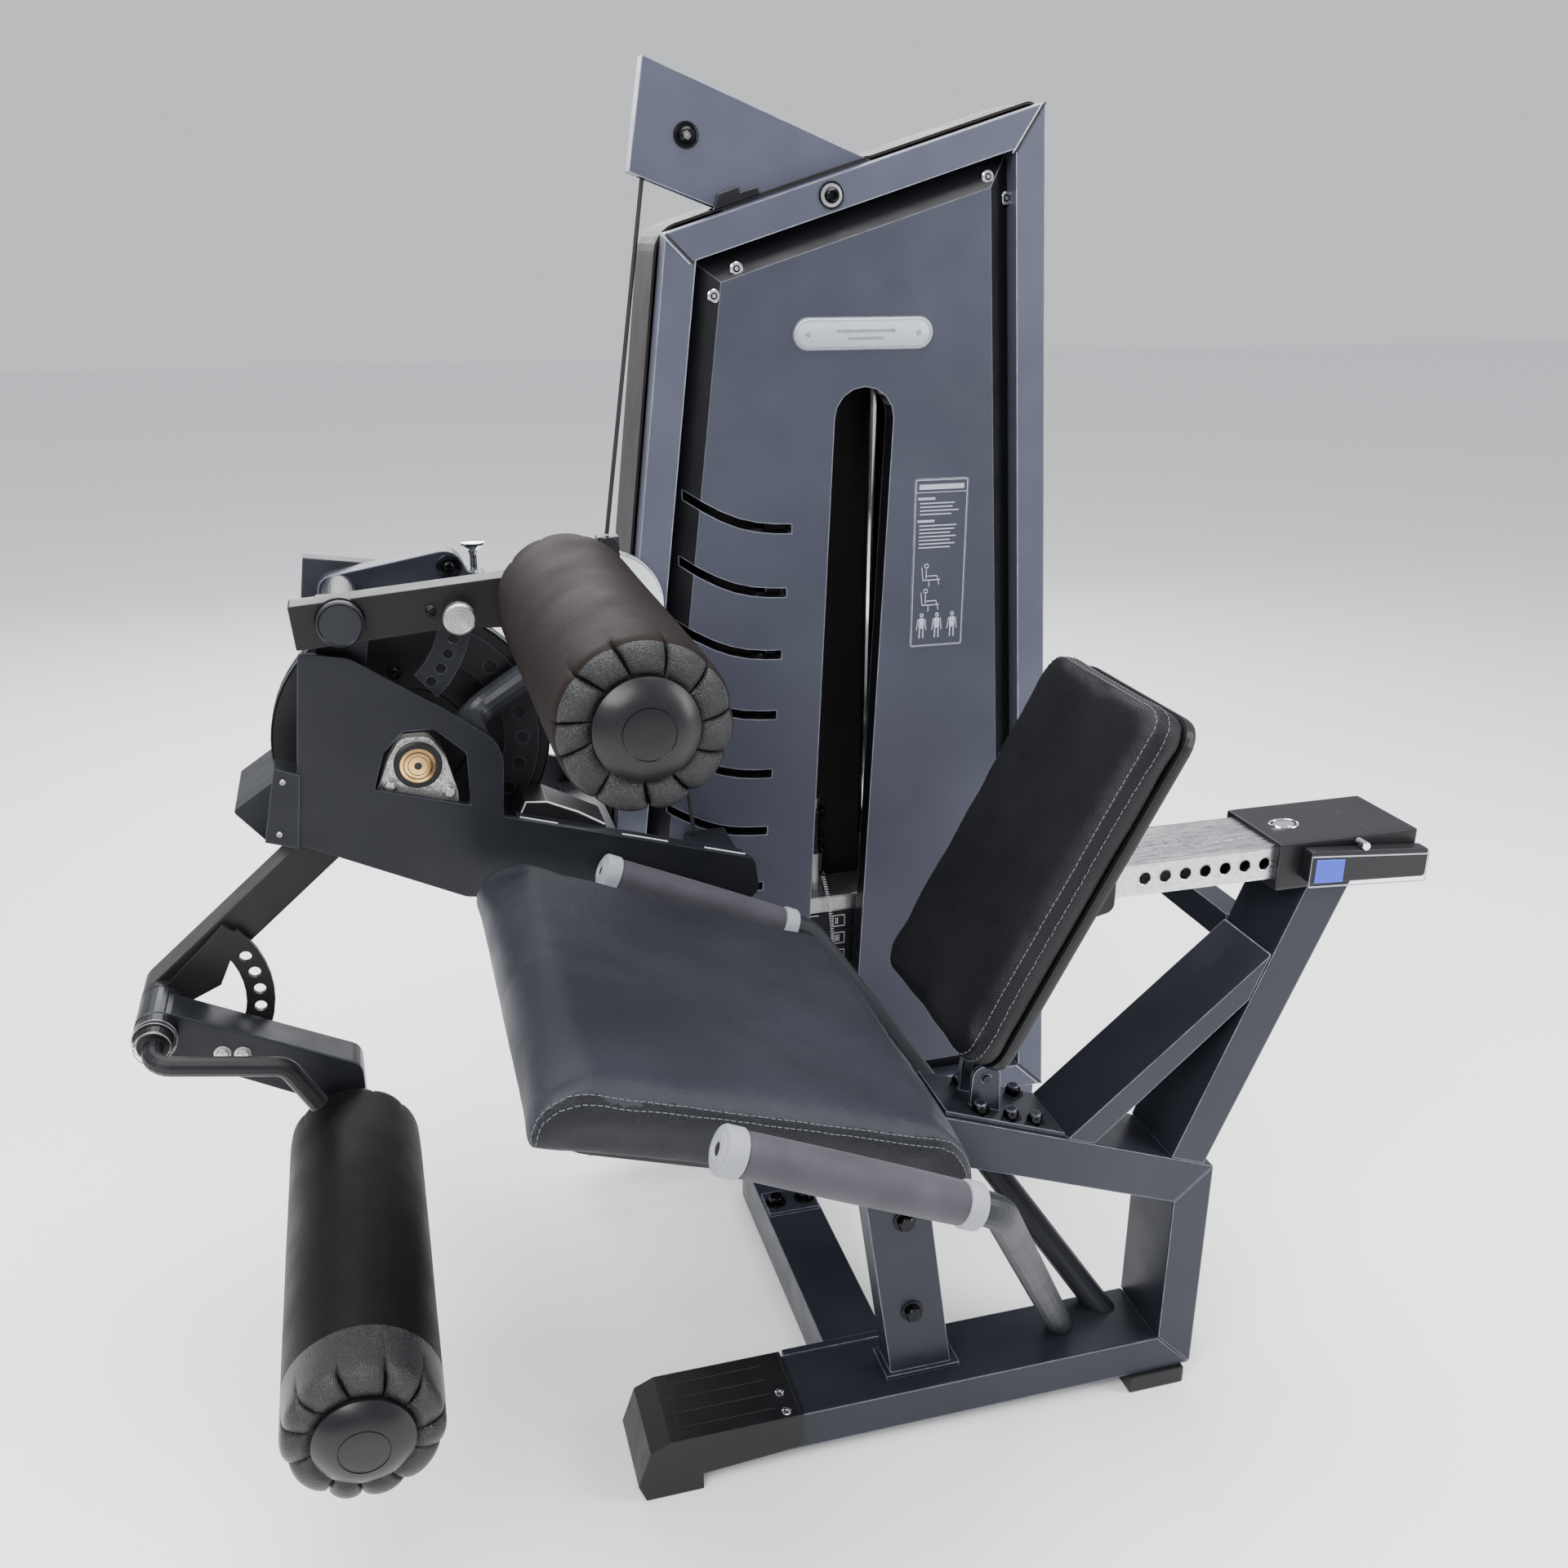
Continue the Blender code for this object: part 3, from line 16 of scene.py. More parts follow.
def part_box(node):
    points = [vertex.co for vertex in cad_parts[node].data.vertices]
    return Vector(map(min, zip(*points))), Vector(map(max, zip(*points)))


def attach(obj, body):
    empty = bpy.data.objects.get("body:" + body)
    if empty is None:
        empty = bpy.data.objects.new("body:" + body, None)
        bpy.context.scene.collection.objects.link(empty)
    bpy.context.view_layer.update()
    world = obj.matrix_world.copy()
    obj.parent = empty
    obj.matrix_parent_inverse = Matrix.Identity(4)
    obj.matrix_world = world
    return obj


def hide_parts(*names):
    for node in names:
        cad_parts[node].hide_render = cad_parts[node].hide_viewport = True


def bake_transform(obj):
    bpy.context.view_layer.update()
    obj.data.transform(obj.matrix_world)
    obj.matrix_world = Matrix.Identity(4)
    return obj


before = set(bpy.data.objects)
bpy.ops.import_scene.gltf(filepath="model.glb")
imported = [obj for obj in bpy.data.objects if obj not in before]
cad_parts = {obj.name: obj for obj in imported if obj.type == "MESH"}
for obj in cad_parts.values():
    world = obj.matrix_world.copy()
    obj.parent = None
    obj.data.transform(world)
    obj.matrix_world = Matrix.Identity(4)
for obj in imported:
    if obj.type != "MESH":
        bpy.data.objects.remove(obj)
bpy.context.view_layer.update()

# Where the bench frame's origin lies in the row frame
BEAM_FRONT = 0.24
BEAM_LOW, BEAM_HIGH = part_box("base_beam")
BENCH = Vector((BEAM_LOW.x - BEAM_FRONT, (BEAM_LOW.y + BEAM_HIGH.y) / 2, 0.0))

# Axes and faces that details line up with, in the bench frame
MAIN_AXIS = Vector((0.0335, 0.0, 0.7125))
BOSS_AXIS = Vector((-0.257, 0.0, 0.462))
THIGH_AXIS = Vector((-0.03, 0.0, 0.879))
PLATE_NEAR = 0.300
TOWER_FACE = 0.42
PANEL_FACE = 0.422
FRAME_WIDTH = 0.0364
BEVEL_WIDTH = 0.0296
BEVEL_BACK = 0.445
ARM_FACE = 0.288
STACK_FACE = 0.460
TOP_PLATE = 0.413
PLATE_PITCH = 0.0255
PLATE_ROWS = 11
LIFTED_ROWS = 4
BEAM_TOP = 0.067
CAP_TOP = 0.0715
HEAD_TOP = 0.6715
HEAD_SIDE = -0.05
SLIDER_TOP = 0.667
HANDLE_FACE = -0.066

TOWARDS_CAMERA = Vector((0.0, -1.0, 0.0))
TOWARDS_TOWER = Vector((0.0, 1.0, 0.0))
UP = Vector((0.0, 0.0, 1.0))
RIGHT = Vector((1.0, 0.0, 0.0))
HEXAGON = "hexagon"

# Corners closer than this become one, and a turned part's tip has this radius
WELD = 0.00001

# How far the surface has to bend before it counts as an edge
EDGE_TURN = 0.16

# Soft pieces
VOXEL = 0.005
SWELL_CAP = 0.006
SWELL_PRESSURE = 4.0
SWELL_FRAMES = 20
STITCH_LENGTH = 0.0042
STITCH_PITCH = 0.0062
STITCH_RADIUS = 0.00045
GRIP_BORE = 0.0156
CABLE_RADIUS = 0.0024
CURL_RADIUS = 0.0021
PLEATS = 11
PLEAT_SAMPLES = 24
FAR_GATHER = 0.35

# Camera, from the bench frame
CAMERA_SPOT = Vector((0.0, -1.219, 1.25))
CAMERA_YAW = math.radians(16.1)
CAMERA_PITCH = math.radians(20.7)
CAMERA_ROLL = math.radians(0.15)
CAMERA_LENS = 33.75


# ---------------------------------------------------------------- materials

def shade(colour, factor, added=0.0):
    """The colour made lighter or darker, with full opacity."""
    return tuple(min(1.0, channel * factor + added) for channel in colour) + (1.0,)


class Look:
    """A material built one node at a time."""

    def __init__(self, name, colour, roughness, metallic=0.0, **sockets):
        self.material = bpy.data.materials.new(name)
        self.material.use_nodes = True
        self.tree = self.material.node_tree
        self.shader = self.tree.nodes["Principled BSDF"]
        self.colour = (*colour, 1.0)
        self.set(Base_Color=self.colour, Roughness=roughness, Metallic=metallic, **sockets)
        self.coords = self.node("TexCoord").outputs["Object"]

    def feed(self, socket, value):
        if isinstance(value, bpy.types.NodeSocket):
            self.tree.links.new(value, socket)
        else:
            socket.default_value = value

    def set(self, **sockets):
        for name, value in sockets.items():
            self.feed(self.shader.inputs[name.replace("_", " ")], value)

    def node(self, kind, settings=None, **sockets):
        node = self.tree.nodes.new("ShaderNode" + kind)
        for name, value in (settings or {}).items():
            setattr(node, name, value)
        for name, value in sockets.items():
            self.feed(node.inputs[name.replace("_", " ")], value)
        return node

    def noise(self, scale, detail=3.0, coords=None):
        return self.node("TexNoise", Vector=coords or self.coords, Scale=scale, Detail=detail).outputs["Fac"]

    def cells(self, scale, feature="DISTANCE_TO_EDGE"):
        settings = {"feature": feature}
        return self.node("TexVoronoi", settings, Vector=self.coords, Scale=scale).outputs["Distance"]

    def spread(self, value, low, high, to_low=0.0, to_high=1.0):
        """The value carried from the range low to high onto the range to_low to to_high."""
        made = self.node("MapRange", Value=value, From_Min=low, From_Max=high, To_Min=to_low, To_Max=to_high)
        return made.outputs["Result"]

    def mix(self, share, first, second):
        made = self.node("MixRGB", Fac=share, Color1=first, Color2=second)
        return made.outputs["Color"]

    def maths(self, operation, first, second):
        node = self.node("Math", {"operation": operation})
        self.feed(node.inputs[0], first)
        self.feed(node.inputs[1], second)
        return node.outputs["Value"]

    def stretched(self, x, y, z):
        """The object's coordinates, scaled differently along each axis."""
        return self.node("Mapping", Vector=self.coords, Scale=(x, y, z)).outputs["Vector"]

    def bump(self, height, strength, distance, under=None):
        sockets = {"Height": height, "Strength": strength, "Distance": distance}
        if under:
            sockets["Normal"] = under
        return self.node("Bump", **sockets).outputs["Normal"]

    def vary_roughness(self, value, middle, less, more):
        """Roughness that follows the value, from less below the middle to more above it."""
        self.set(Roughness=self.spread(value, 0.3, 0.7, middle - less, middle + more))

    def edges(self, radius):
        """One along the convex and concave edges of the solid, zero on its flat faces."""
        bevelled = self.node("Bevel", {"samples": 6}, Radius=radius).outputs["Normal"]
        flat = self.node("NewGeometry").outputs["Normal"]
        node = self.node("VectorMath", {"operation": "DOT_PRODUCT"})
        self.feed(node.inputs[0], bevelled)
        self.feed(node.inputs[1], flat)
        return self.spread(node.outputs["Value"], 1.0 - EDGE_TURN * 0.06, 1.0 - EDGE_TURN)


def powder_coat(name, colour, edge_wear_and_highlight_colour, roughness, metallic=0.35, edge_radius=0.0022, slope_shade_colour=None):
    """Satin powder coat: orange peel, faint cloudiness, and edges painted lighter, partly as wear where the
    coat is thin and partly as painted highlight.

    Where a slope colour is given, faces that are turned away from the bench's side take it as painted shade.
    """
    look = Look(name, colour, roughness, metallic, Specular_IOR_Level=0.3)
    cloud = look.spread(look.noise(5.0, 4.0), 0.35, 0.65, 0.0, 0.35)
    body = look.mix(cloud, look.colour, shade(colour, 1.5, 0.004))
    if slope_shade_colour:
        # Painted shade: the sloping faces take the dark slope colour
        facing = look.node("SeparateXYZ", Vector=look.node("NewGeometry").outputs["True Normal"]).outputs["Y"]
        body = look.mix(look.spread(facing, -0.995, -0.97), body, (*slope_shade_colour, 1.0))
    if edge_radius:
        # Edges painted lighter: partly worn coat, partly painted highlight
        patches = look.spread(look.noise(60.0), 0.3, 0.6, 0.45, 1.0)
        wear_and_highlight = look.maths("MULTIPLY", look.edges(edge_radius), patches)
        body = look.mix(wear_and_highlight, body, (*edge_wear_and_highlight_colour, 1.0))
    look.set(Base_Color=body)
    look.vary_roughness(look.noise(22.0, 5.0), roughness, 0.06, 0.07)
    peel = look.bump(look.noise(1100.0, 2.0), 0.18, 0.0002)
    look.set(Normal=look.bump(look.noise(9.0, 2.0), 0.05, 0.002, peel))
    return look.material


def leather(name, colour, roughness, grain=0.5, level=0.2):
    """Artificial leather: pebbled grain, fine pores, soft creases, and painted shade that darkens the colour
    in the grain's hollows.
    """
    look = Look(name, colour, roughness, Specular_IOR_Level=level)
    pebbles = look.spread(look.cells(520.0), 0.0, 0.35)
    small = look.spread(look.cells(1150.0), 0.0, 0.4)
    grain_height = look.maths("ADD", pebbles, look.maths("MULTIPLY", small, 0.45))
    creases = look.maths("ABSOLUTE", look.maths("SUBTRACT", look.noise(34.0, 6.0), 0.5), 0.0)
    crease_height = look.spread(creases, 0.0, 0.03, 0.0, 1.0)
    fine = look.bump(grain_height, grain, 0.00035)
    look.set(Normal=look.bump(crease_height, 0.12, 0.0005, fine))
    patches = look.spread(look.noise(7.0, 4.0), 0.35, 0.65)
    patchy = look.mix(patches, look.colour, shade(colour, 1.35, 0.002))
    # Painted shade: the colour darkens in the hollows between the pebbles
    look.set(Base_Color=look.mix(look.spread(pebbles, 0.0, 0.6, 0.55, 0.0), patchy, shade(colour, 0.55)))
    look.vary_roughness(look.noise(15.0, 4.0), roughness, 0.07, 0.08)
    return look.material


def polished(name, colour, roughness):
    """Plated or turned metal: fine brushing, cloudy gloss and a little grime."""
    look = Look(name, colour, roughness, 1.0)
    brushing = look.noise(260.0, 4.0)
    look.set(Roughness=look.spread(brushing, 0.3, 0.7, roughness * 0.8, roughness * 1.25))
    grime = look.spread(look.noise(30.0, 5.0), 0.45, 0.75, 0.0, 0.1)
    look.set(Base_Color=look.mix(grime, look.colour, shade(colour, 0.55)))
    return look.material


def galvanised(name):
    """The slider's plated sheet: mottled spangle, brushed along its length."""
    look = Look(name, (0.56, 0.57, 0.58), 0.3, 1.0)
    spangle = look.cells(130.0, "F1")
    brushing = look.noise(420.0, 4.0, look.stretched(0.06, 1.0, 1.0))
    tone = look.mix(look.spread(spangle, 0.0, 0.9), (0.62, 0.63, 0.64, 1.0), (0.38, 0.39, 0.4, 1.0))
    look.set(Base_Color=look.mix(look.spread(brushing, 0.4, 0.6, 0.0, 0.45), tone, (0.75, 0.76, 0.77, 1.0)))
    look.vary_roughness(brushing, 0.3, 0.12, 0.12)
    look.set(Normal=look.bump(brushing, 0.12, 0.0002))
    return look.material


def cast_metal(name, colour, roughness):
    """Sand cast aluminium: a coarse skin, brighter along its edges."""
    look = Look(name, colour, roughness, 0.9)
    skin = look.noise(420.0, 5.0)
    body = look.mix(look.spread(skin, 0.3, 0.7), look.colour, (0.2, 0.19, 0.18, 1.0))
    look.set(Base_Color=look.mix(look.edges(0.0015), body, (0.75, 0.74, 0.72, 1.0)))
    look.vary_roughness(skin, roughness, 0.1, 0.12)
    look.set(Normal=look.bump(skin, 0.45, 0.0004))
    return look.material


def moulded(name, colour, roughness, sparkle=0.3):
    """Moulded plastic: a fine etched texture, and edges painted lighter, partly as polish from wear and
    partly as painted highlight.
    """
    look = Look(name, colour, roughness, Specular_IOR_Level=0.3)
    # Edges painted lighter: partly wear, partly painted highlight
    wear_and_highlight = look.maths("MULTIPLY", look.edges(0.0018), 0.8)
    look.set(Base_Color=look.mix(wear_and_highlight, look.colour, shade(colour, 1.9, 0.012)))
    look.vary_roughness(look.noise(40.0, 4.0), roughness, 0.05, 0.08)
    look.set(Normal=look.bump(look.noise(1500.0, 2.0), sparkle, 0.00015))
    return look.material


def foam(name, colour):
    """Dense foam rubber: closed cells, matt, with a faint bloom."""
    look = Look(name, colour, 0.62, Specular_IOR_Level=0.25, Sheen_Weight=0.08, Sheen_Roughness=0.4)
    bloom = look.spread(look.noise(26.0, 5.0), 0.35, 0.7)
    look.set(Base_Color=look.mix(bloom, look.colour, shade(colour, 1.35)))
    look.set(Normal=look.bump(look.spread(look.cells(2100.0), 0.0, 0.3), 0.3, 0.0002))
    return look.material


def coated_cable(name):
    """A wire rope under black nylon: its strands show through as slanting ribs."""
    look = Look(name, (0.010, 0.010, 0.011), 0.5, Specular_IOR_Level=0.2)
    strands = look.node("TexWave", {"bands_direction": "DIAGONAL"}, Vector=look.coords, Scale=210.0,
                        Distortion=0.3).outputs["Fac"]
    look.set(Normal=look.bump(strands, 0.5, 0.0003))
    look.set(Base_Color=look.mix(strands, (0.006, 0.006, 0.0065, 1.0), (0.018, 0.018, 0.02, 1.0)))
    return look.material


def printed(name, colour, roughness=0.45):
    """Printed film: faintly uneven ink under a soft gloss."""
    look = Look(name, colour, roughness, Coat_Weight=0.15)
    uneven = look.spread(look.noise(300.0, 3.0), 0.3, 0.7)
    look.set(Base_Color=look.mix(uneven, look.colour, shade(colour, 0.82)))
    look.vary_roughness(look.noise(45.0), roughness, 0.08, 0.08)
    return look.material


LOOKS = {
    "slate": powder_coat("slate_coat", (0.017, 0.019, 0.026), (0.30, 0.33, 0.41), 0.34),
    "tube": powder_coat("bent_tube_coat", (0.010, 0.011, 0.015), (0.03, 0.03, 0.04), 0.46, 0.0, 0.0),
    "housing": powder_coat("housing_coat", (0.008, 0.009, 0.012), (0.055, 0.06, 0.075), 0.40, 0.2),
    "arm": powder_coat("arm_coat", (0.0065, 0.0055, 0.0056), (0.022, 0.018, 0.018), 0.42, 0.08),
    "black": powder_coat("black_coat", (0.005, 0.005, 0.006), (0.045, 0.05, 0.06), 0.40, 0.1),
    # The panel's sloping band is darkened as painted shade
    "panel": powder_coat("panel_coat", (0.040, 0.043, 0.060), (0.30, 0.31, 0.38), 0.38, 0.3,
                         slope_shade_colour=(0.006, 0.006, 0.0075)),
    "frame": powder_coat("tower_frame_coat", (0.068, 0.072, 0.100), (0.5, 0.53, 0.63), 0.34, 0.35),
    "shell": powder_coat("tower_side_coat", (0.010, 0.007, 0.0065), (0.1, 0.1, 0.1), 0.5, 0.0, 0.0),
    "plastic": moulded("black_plastic", (0.005, 0.005, 0.006), 0.42),
    "cap": moulded("roller_cap_plastic", (0.0055, 0.0055, 0.0065), 0.33, 0.15),
    "collar": moulded("light_collar", (0.24, 0.25, 0.28), 0.5),
    "blue": moulded("blue_inlay", (0.035, 0.06, 0.52), 0.4),
    "seat_leather": leather("seat_leather", (0.019, 0.020, 0.027), 0.44, 0.5),
    "side_leather": leather("seat_side_leather", (0.0060, 0.0066, 0.0090), 0.38, 0.7),
    "back_leather": leather("back_leather", (0.0048, 0.0048, 0.0062), 0.44, 0.5),
    "gather_and_reflection_leather": leather("gathered_leather_and_painted_reflection", (0.0050, 0.0050, 0.0060), 0.30, 0.9, level=0.4),
    "brown_leather": leather("brown_leather", (0.0100, 0.0072, 0.0064), 0.62, 0.15, level=0.06),
    "dark_brown_leather": leather("dark_brown_leather", (0.0042, 0.0031, 0.0028), 0.5, 0.2, level=0.1),
    "thread": printed("grey_thread", (0.10, 0.105, 0.12), 0.7),
    "chrome": polished("chrome", (0.8, 0.81, 0.83), 0.1),
    "steel": polished("turned_steel", (0.42, 0.41, 0.41), 0.36),
    "dark_steel": polished("black_oxide_steel", (0.02, 0.02, 0.022), 0.28),
    "gold": polished("gold_cap", (0.72, 0.44, 0.17), 0.22),
    "slider": galvanised("galvanised_slider"),
    "cast": cast_metal("cast_aluminium", (0.62, 0.61, 0.60), 0.42),
    "foam": foam("grip_foam", (0.038, 0.036, 0.045)),
    "cable": coated_cable("coated_cable"),
    "badge": printed("badge_film", (0.36, 0.40, 0.45)),
    # Also the colour of painted highlights beside the tower's seams and on the lanyard
    "line": printed("light_print_and_painted_highlight", (0.36, 0.38, 0.44)),
    # Also the colour of painted highlights on the housing edge and the weight plates
    "label": printed("label_print_and_painted_highlight", (0.55, 0.56, 0.57)),
    "void": printed("hole_shadow", (0.002, 0.002, 0.002), 0.8),
}

NODE_LOOKS = {
    "slate": ("base_beam", "rear_post", "seat_beam", "front_post", "rear_brace", "mast", "floor_tie",
              "seat_plate", "thigh_far_arm"),
    "tube": ("handle_tube_near", "handle_tube_far", "housing_brace_tube", "thigh_shaft"),
    "housing": ("housing_near_plate", "housing_far_plate", "thigh_bracket", "roller_arm"),
    "arm": ("lever_arm", "thigh_arm"),
    "black": ("back_bracket", "slider_head", "release_handle", "cam_disc", "roller_release_handle",
              "float_block", "lifted_weights", "resting_weights"),
    "panel": ("tower_front_panel",),
    "frame": ("tower_front_frame", "boom"),
    "shell": ("tower_shell",),
    "plastic": ("front_foot_cap", "rear_foot", "seat_board", "back_board", "housing_tray"),
    "cap": ("lower_roller_cap", "upper_roller_cap"),
    "chrome": ("float_pulley", "thigh_plunger", "guide_rods", "selector_pin"),
    "slider": ("slider_tube",),
    "cast": ("pillow_block", "boom_pulley", "tower_pulley"),
    "steel": ("thigh_knob", "selector_stem"),
    "gold": ("main_shaft",),
    "cable": ("drop_cable", "stack_cable", "lift_cable_wrap", "lift_cable_pull", "lift_cable_anchor"),
}


def dress_cad_nodes():
    """Gives every CAD node the look that its name is listed under."""
    for look, names in NODE_LOOKS.items():
        for name in names:
            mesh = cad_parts[name].data
            mesh.materials.clear()
            mesh.materials.append(LOOKS[look])


# ---------------------------------------------------------------- building shapes

def turns(count):
    """The angles of a full turn, equally spaced."""
    return [math.tau * side / count for side in range(count)]


def linked(name, data):
    """A new object in the scene that shows the data."""
    made = bpy.data.objects.new(name, data)
    bpy.context.scene.collection.objects.link(made)
    return made


class Shape:
    """Corners and faces gathered in the bench frame, then made into one object."""

    def __init__(self):
        self.points = []
        self.faces = []
        self.looks = []

    def add(self, points, faces, look=0):
        start = len(self.points)
        self.points += [Vector(point) for point in points]
        self.faces += [[start + corner for corner in face] for face in faces]
        self.looks += look if isinstance(look, list) else [look] * len(faces)

    def rings(self, circles, closed=False, look=0):
        """A skin over circles of equally many points, with a cap at both ends unless it closes on itself.

        look is one material number, or a list with one for each span between circles.
        """
        count = len(circles[0])
        faces = []
        spans = len(circles) if closed else len(circles) - 1
        looks = look if isinstance(look, list) else [look] * spans
        chosen = []
        for span in range(spans):
            low = span * count
            high = (span + 1) % len(circles) * count
            for side in range(count):
                after = (side + 1) % count
                faces.append([low + side, low + after, high + after, high + side])
            chosen += [looks[span]] * count
        if not closed:
            faces.append(list(range(count))[::-1])
            faces.append([(len(circles) - 1) * count + side for side in range(count)])
            chosen += [looks[0], looks[-1]]
        self.add([point for circle in circles for point in circle], faces, chosen)

    def turned(self, profile, at, axis=TOWARDS_CAMERA, sides=32, look=0):
        """A turned part. Each profile entry is (distance along the axis, radius) or has HEXAGON after it."""
        forward = axis.normalized()
        across = forward.orthogonal().normalized()
        upward = forward.cross(across)
        circles = []
        for along, radius, *kind in profile:
            circle = []
            for angle in turns(sides):
                reach = max(radius, WELD)
                if kind:
                    reach /= math.cos(angle % (math.pi / 3) - math.pi / 6)
                offset = across * math.cos(angle) + upward * math.sin(angle)
                circle.append(Vector(at) + forward * along + offset * reach)
            circles.append(circle)
        self.rings(circles, look=look)

    def tube(self, path, radius, sides=10, closed=False, look=0):
        """A round bar along a path; a closed path makes a ring."""
        points = [Vector(point) for point in path]
        circles = []
        across = None
        for index, point in enumerate(points):
            before = points[index - 1] if index or closed else point
            after = points[(index + 1) % len(points)] if index + 1 < len(points) or closed else point
            forward = (after - before).normalized()
            if across is None:
                across = forward.orthogonal().normalized()
            across = (across - forward * across.dot(forward)).normalized()
            upward = forward.cross(across)
            circles.append([point + (across * math.cos(angle) + upward * math.sin(angle)) * radius
                            for angle in turns(sides)])
        self.rings(circles, closed=closed, look=look)

    def circle(self, at, size, radius, sides=48):
        """A ring of round wire that faces the camera."""
        across = TOWARDS_CAMERA.orthogonal().normalized()
        upward = TOWARDS_CAMERA.cross(across).normalized()
        path = [Vector(at) + (across * math.cos(angle) + upward * math.sin(angle)) * size
                for angle in turns(sides)]
        self.tube(path, radius, 6, True)

    def line(self, outline, depth, radius, sides=6, closed=True):
        """A round line along an outline in X and Z."""
        self.tube([(x, depth, z) for x, z in outline], radius, sides, closed)

    def slab(self, outline, at, thickness, chamfer, right, up):
        """A plate whose outline lies in the plane of right and up; it grows along right x up."""
        out = right.cross(up)
        inner = shrunk(outline, chamfer)
        circles = []
        for points, height in ((outline, 0.0), (outline, thickness - chamfer), (inner, thickness)):
            circles.append([Vector(at) + right * x + up * z + out * height for x, z in points])
        self.rings(circles)

    def upright(self, outline, depth, thickness=0.0003, chamfer=0.0001):
        """A plate that faces the camera, from an outline in X and Z."""
        self.slab(outline, (0.0, depth, 0.0), thickness, chamfer, RIGHT, UP)

    def lying(self, outline, height, thickness, chamfer):
        """A plate that faces up, from an outline in X and Y."""
        self.slab(outline, (0.0, 0.0, height), thickness, chamfer, RIGHT, TOWARDS_TOWER)

    def build(self, name, looks, angle=35.0):
        mesh = bpy.data.meshes.new(name)
        mesh.from_pydata([point + BENCH for point in self.points], [], self.faces)
        for look in [looks] if isinstance(looks, str) else looks:
            mesh.materials.append(LOOKS[look])
        mesh.polygons.foreach_set("material_index", self.looks)
        bm = bmesh.new()
        bm.from_mesh(mesh)
        bmesh.ops.remove_doubles(bm, verts=bm.verts, dist=WELD)
        bmesh.ops.recalc_face_normals(bm, faces=bm.faces)
        bm.to_mesh(mesh)
        bm.free()
        mesh.shade_smooth()
        mesh.set_sharp_from_angle(angle=math.radians(angle))
        return linked(name, mesh)

    def place(self, name, looks, body="machine_frame", slot=None, angle=35.0):
        piece = self.build(name, looks, angle)
        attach(piece, body)
        return piece


def shrunk(outline, distance):
    """The outline with every corner moved inwards, by the distance from both of its sides."""
    if distance == 0:
        return outline
    area = sum(a[0] * b[1] - b[0] * a[1] for a, b in zip(outline, outline[1:] + outline[:1]))
    turn = 1.0 if area > 0 else -1.0
    points = []
    for index, corner in enumerate(outline):
        here = Vector(corner)
        before = (here - Vector(outline[index - 1])).normalized()
        after = (Vector(outline[(index + 1) % len(outline)]) - here).normalized()
        inward = Vector((-(before.y + after.y), before.x + after.x)) * turn
        share = max(0.3, inward.length / 2)
        points.append(tuple(here + inward.normalized() * distance / share))
    return points


def rectangle(low_x, low_z, high_x, high_z):
    return [(low_x, low_z), (high_x, low_z), (high_x, high_z), (low_x, high_z)]


def rounded_rectangle(low_x, low_z, high_x, high_z, radius, steps=6):
    points = []
    corners = ((high_x - radius, high_z - radius, 0), (low_x + radius, high_z - radius, 90),
               (low_x + radius, low_z + radius, 180), (high_x - radius, low_z + radius, 270))
    for x, z, start in corners:
        for step in range(steps + 1):
            angle = math.radians(start + 90 * step / steps)
            points.append((x + radius * math.cos(angle), z + radius * math.sin(angle)))
    return points


def socket_screw(shape, at, radius, height, washer=True, washer_look=0):
    """A domed screw head with a hexagon socket, on a thin washer, that faces the camera."""
    socket = radius * 0.46
    if washer:
        flat = radius * 1.45
        shape.turned([(0.0, flat), (0.0009, flat), (0.0012, radius * 1.3)], at, look=washer_look)
    shape.turned([(0.0, radius), (height * 0.45, radius), (height * 0.8, radius * 0.85),
                  (height, radius * 0.62), (height, socket, HEXAGON),
                  (height * 0.35, socket * 0.95, HEXAGON)], at, sides=36)


def hexagon_bolt(shape, at, radius, height, axis=TOWARDS_CAMERA):
    """A hexagon head with a chamfered top, on a washer."""
    flat = radius * 1.55
    shape.turned([(0.0, flat), (0.0012, flat), (0.0015, radius * 1.45)], at, axis)
    shape.turned([(0.0, radius, HEXAGON), (height * 0.85, radius, HEXAGON), (height, radius * 0.9)],
                 at, axis, 36)


# ---------------------------------------------------------------- soft pieces

def shrunk_copy(node, name, scale):
    """A copy of a CAD node's mesh, scaled about its middle."""
    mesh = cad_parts[node].data.copy()
    mesh.name = name
    low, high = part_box(node)
    middle = (low + high) / 2
    mesh.transform(Matrix.Translation(middle) @ Matrix.Diagonal((*scale, 1.0)) @ Matrix.Translation(-middle))
    return linked(name, mesh)


def surface(mesh):
    """A tree that finds the nearest spot on the mesh."""
    return BVHTree.FromPolygons([vert.co for vert in mesh.vertices],
                                [tuple(face.vertices) for face in mesh.polygons])


def applied(piece):
    """Puts the modified mesh in the piece and drops its modifiers."""
    graph = bpy.context.evaluated_depsgraph_get()
    graph.update()
    mesh = bpy.data.meshes.new_from_object(piece.evaluated_get(graph))
    piece.modifiers.clear()
    piece.data = mesh


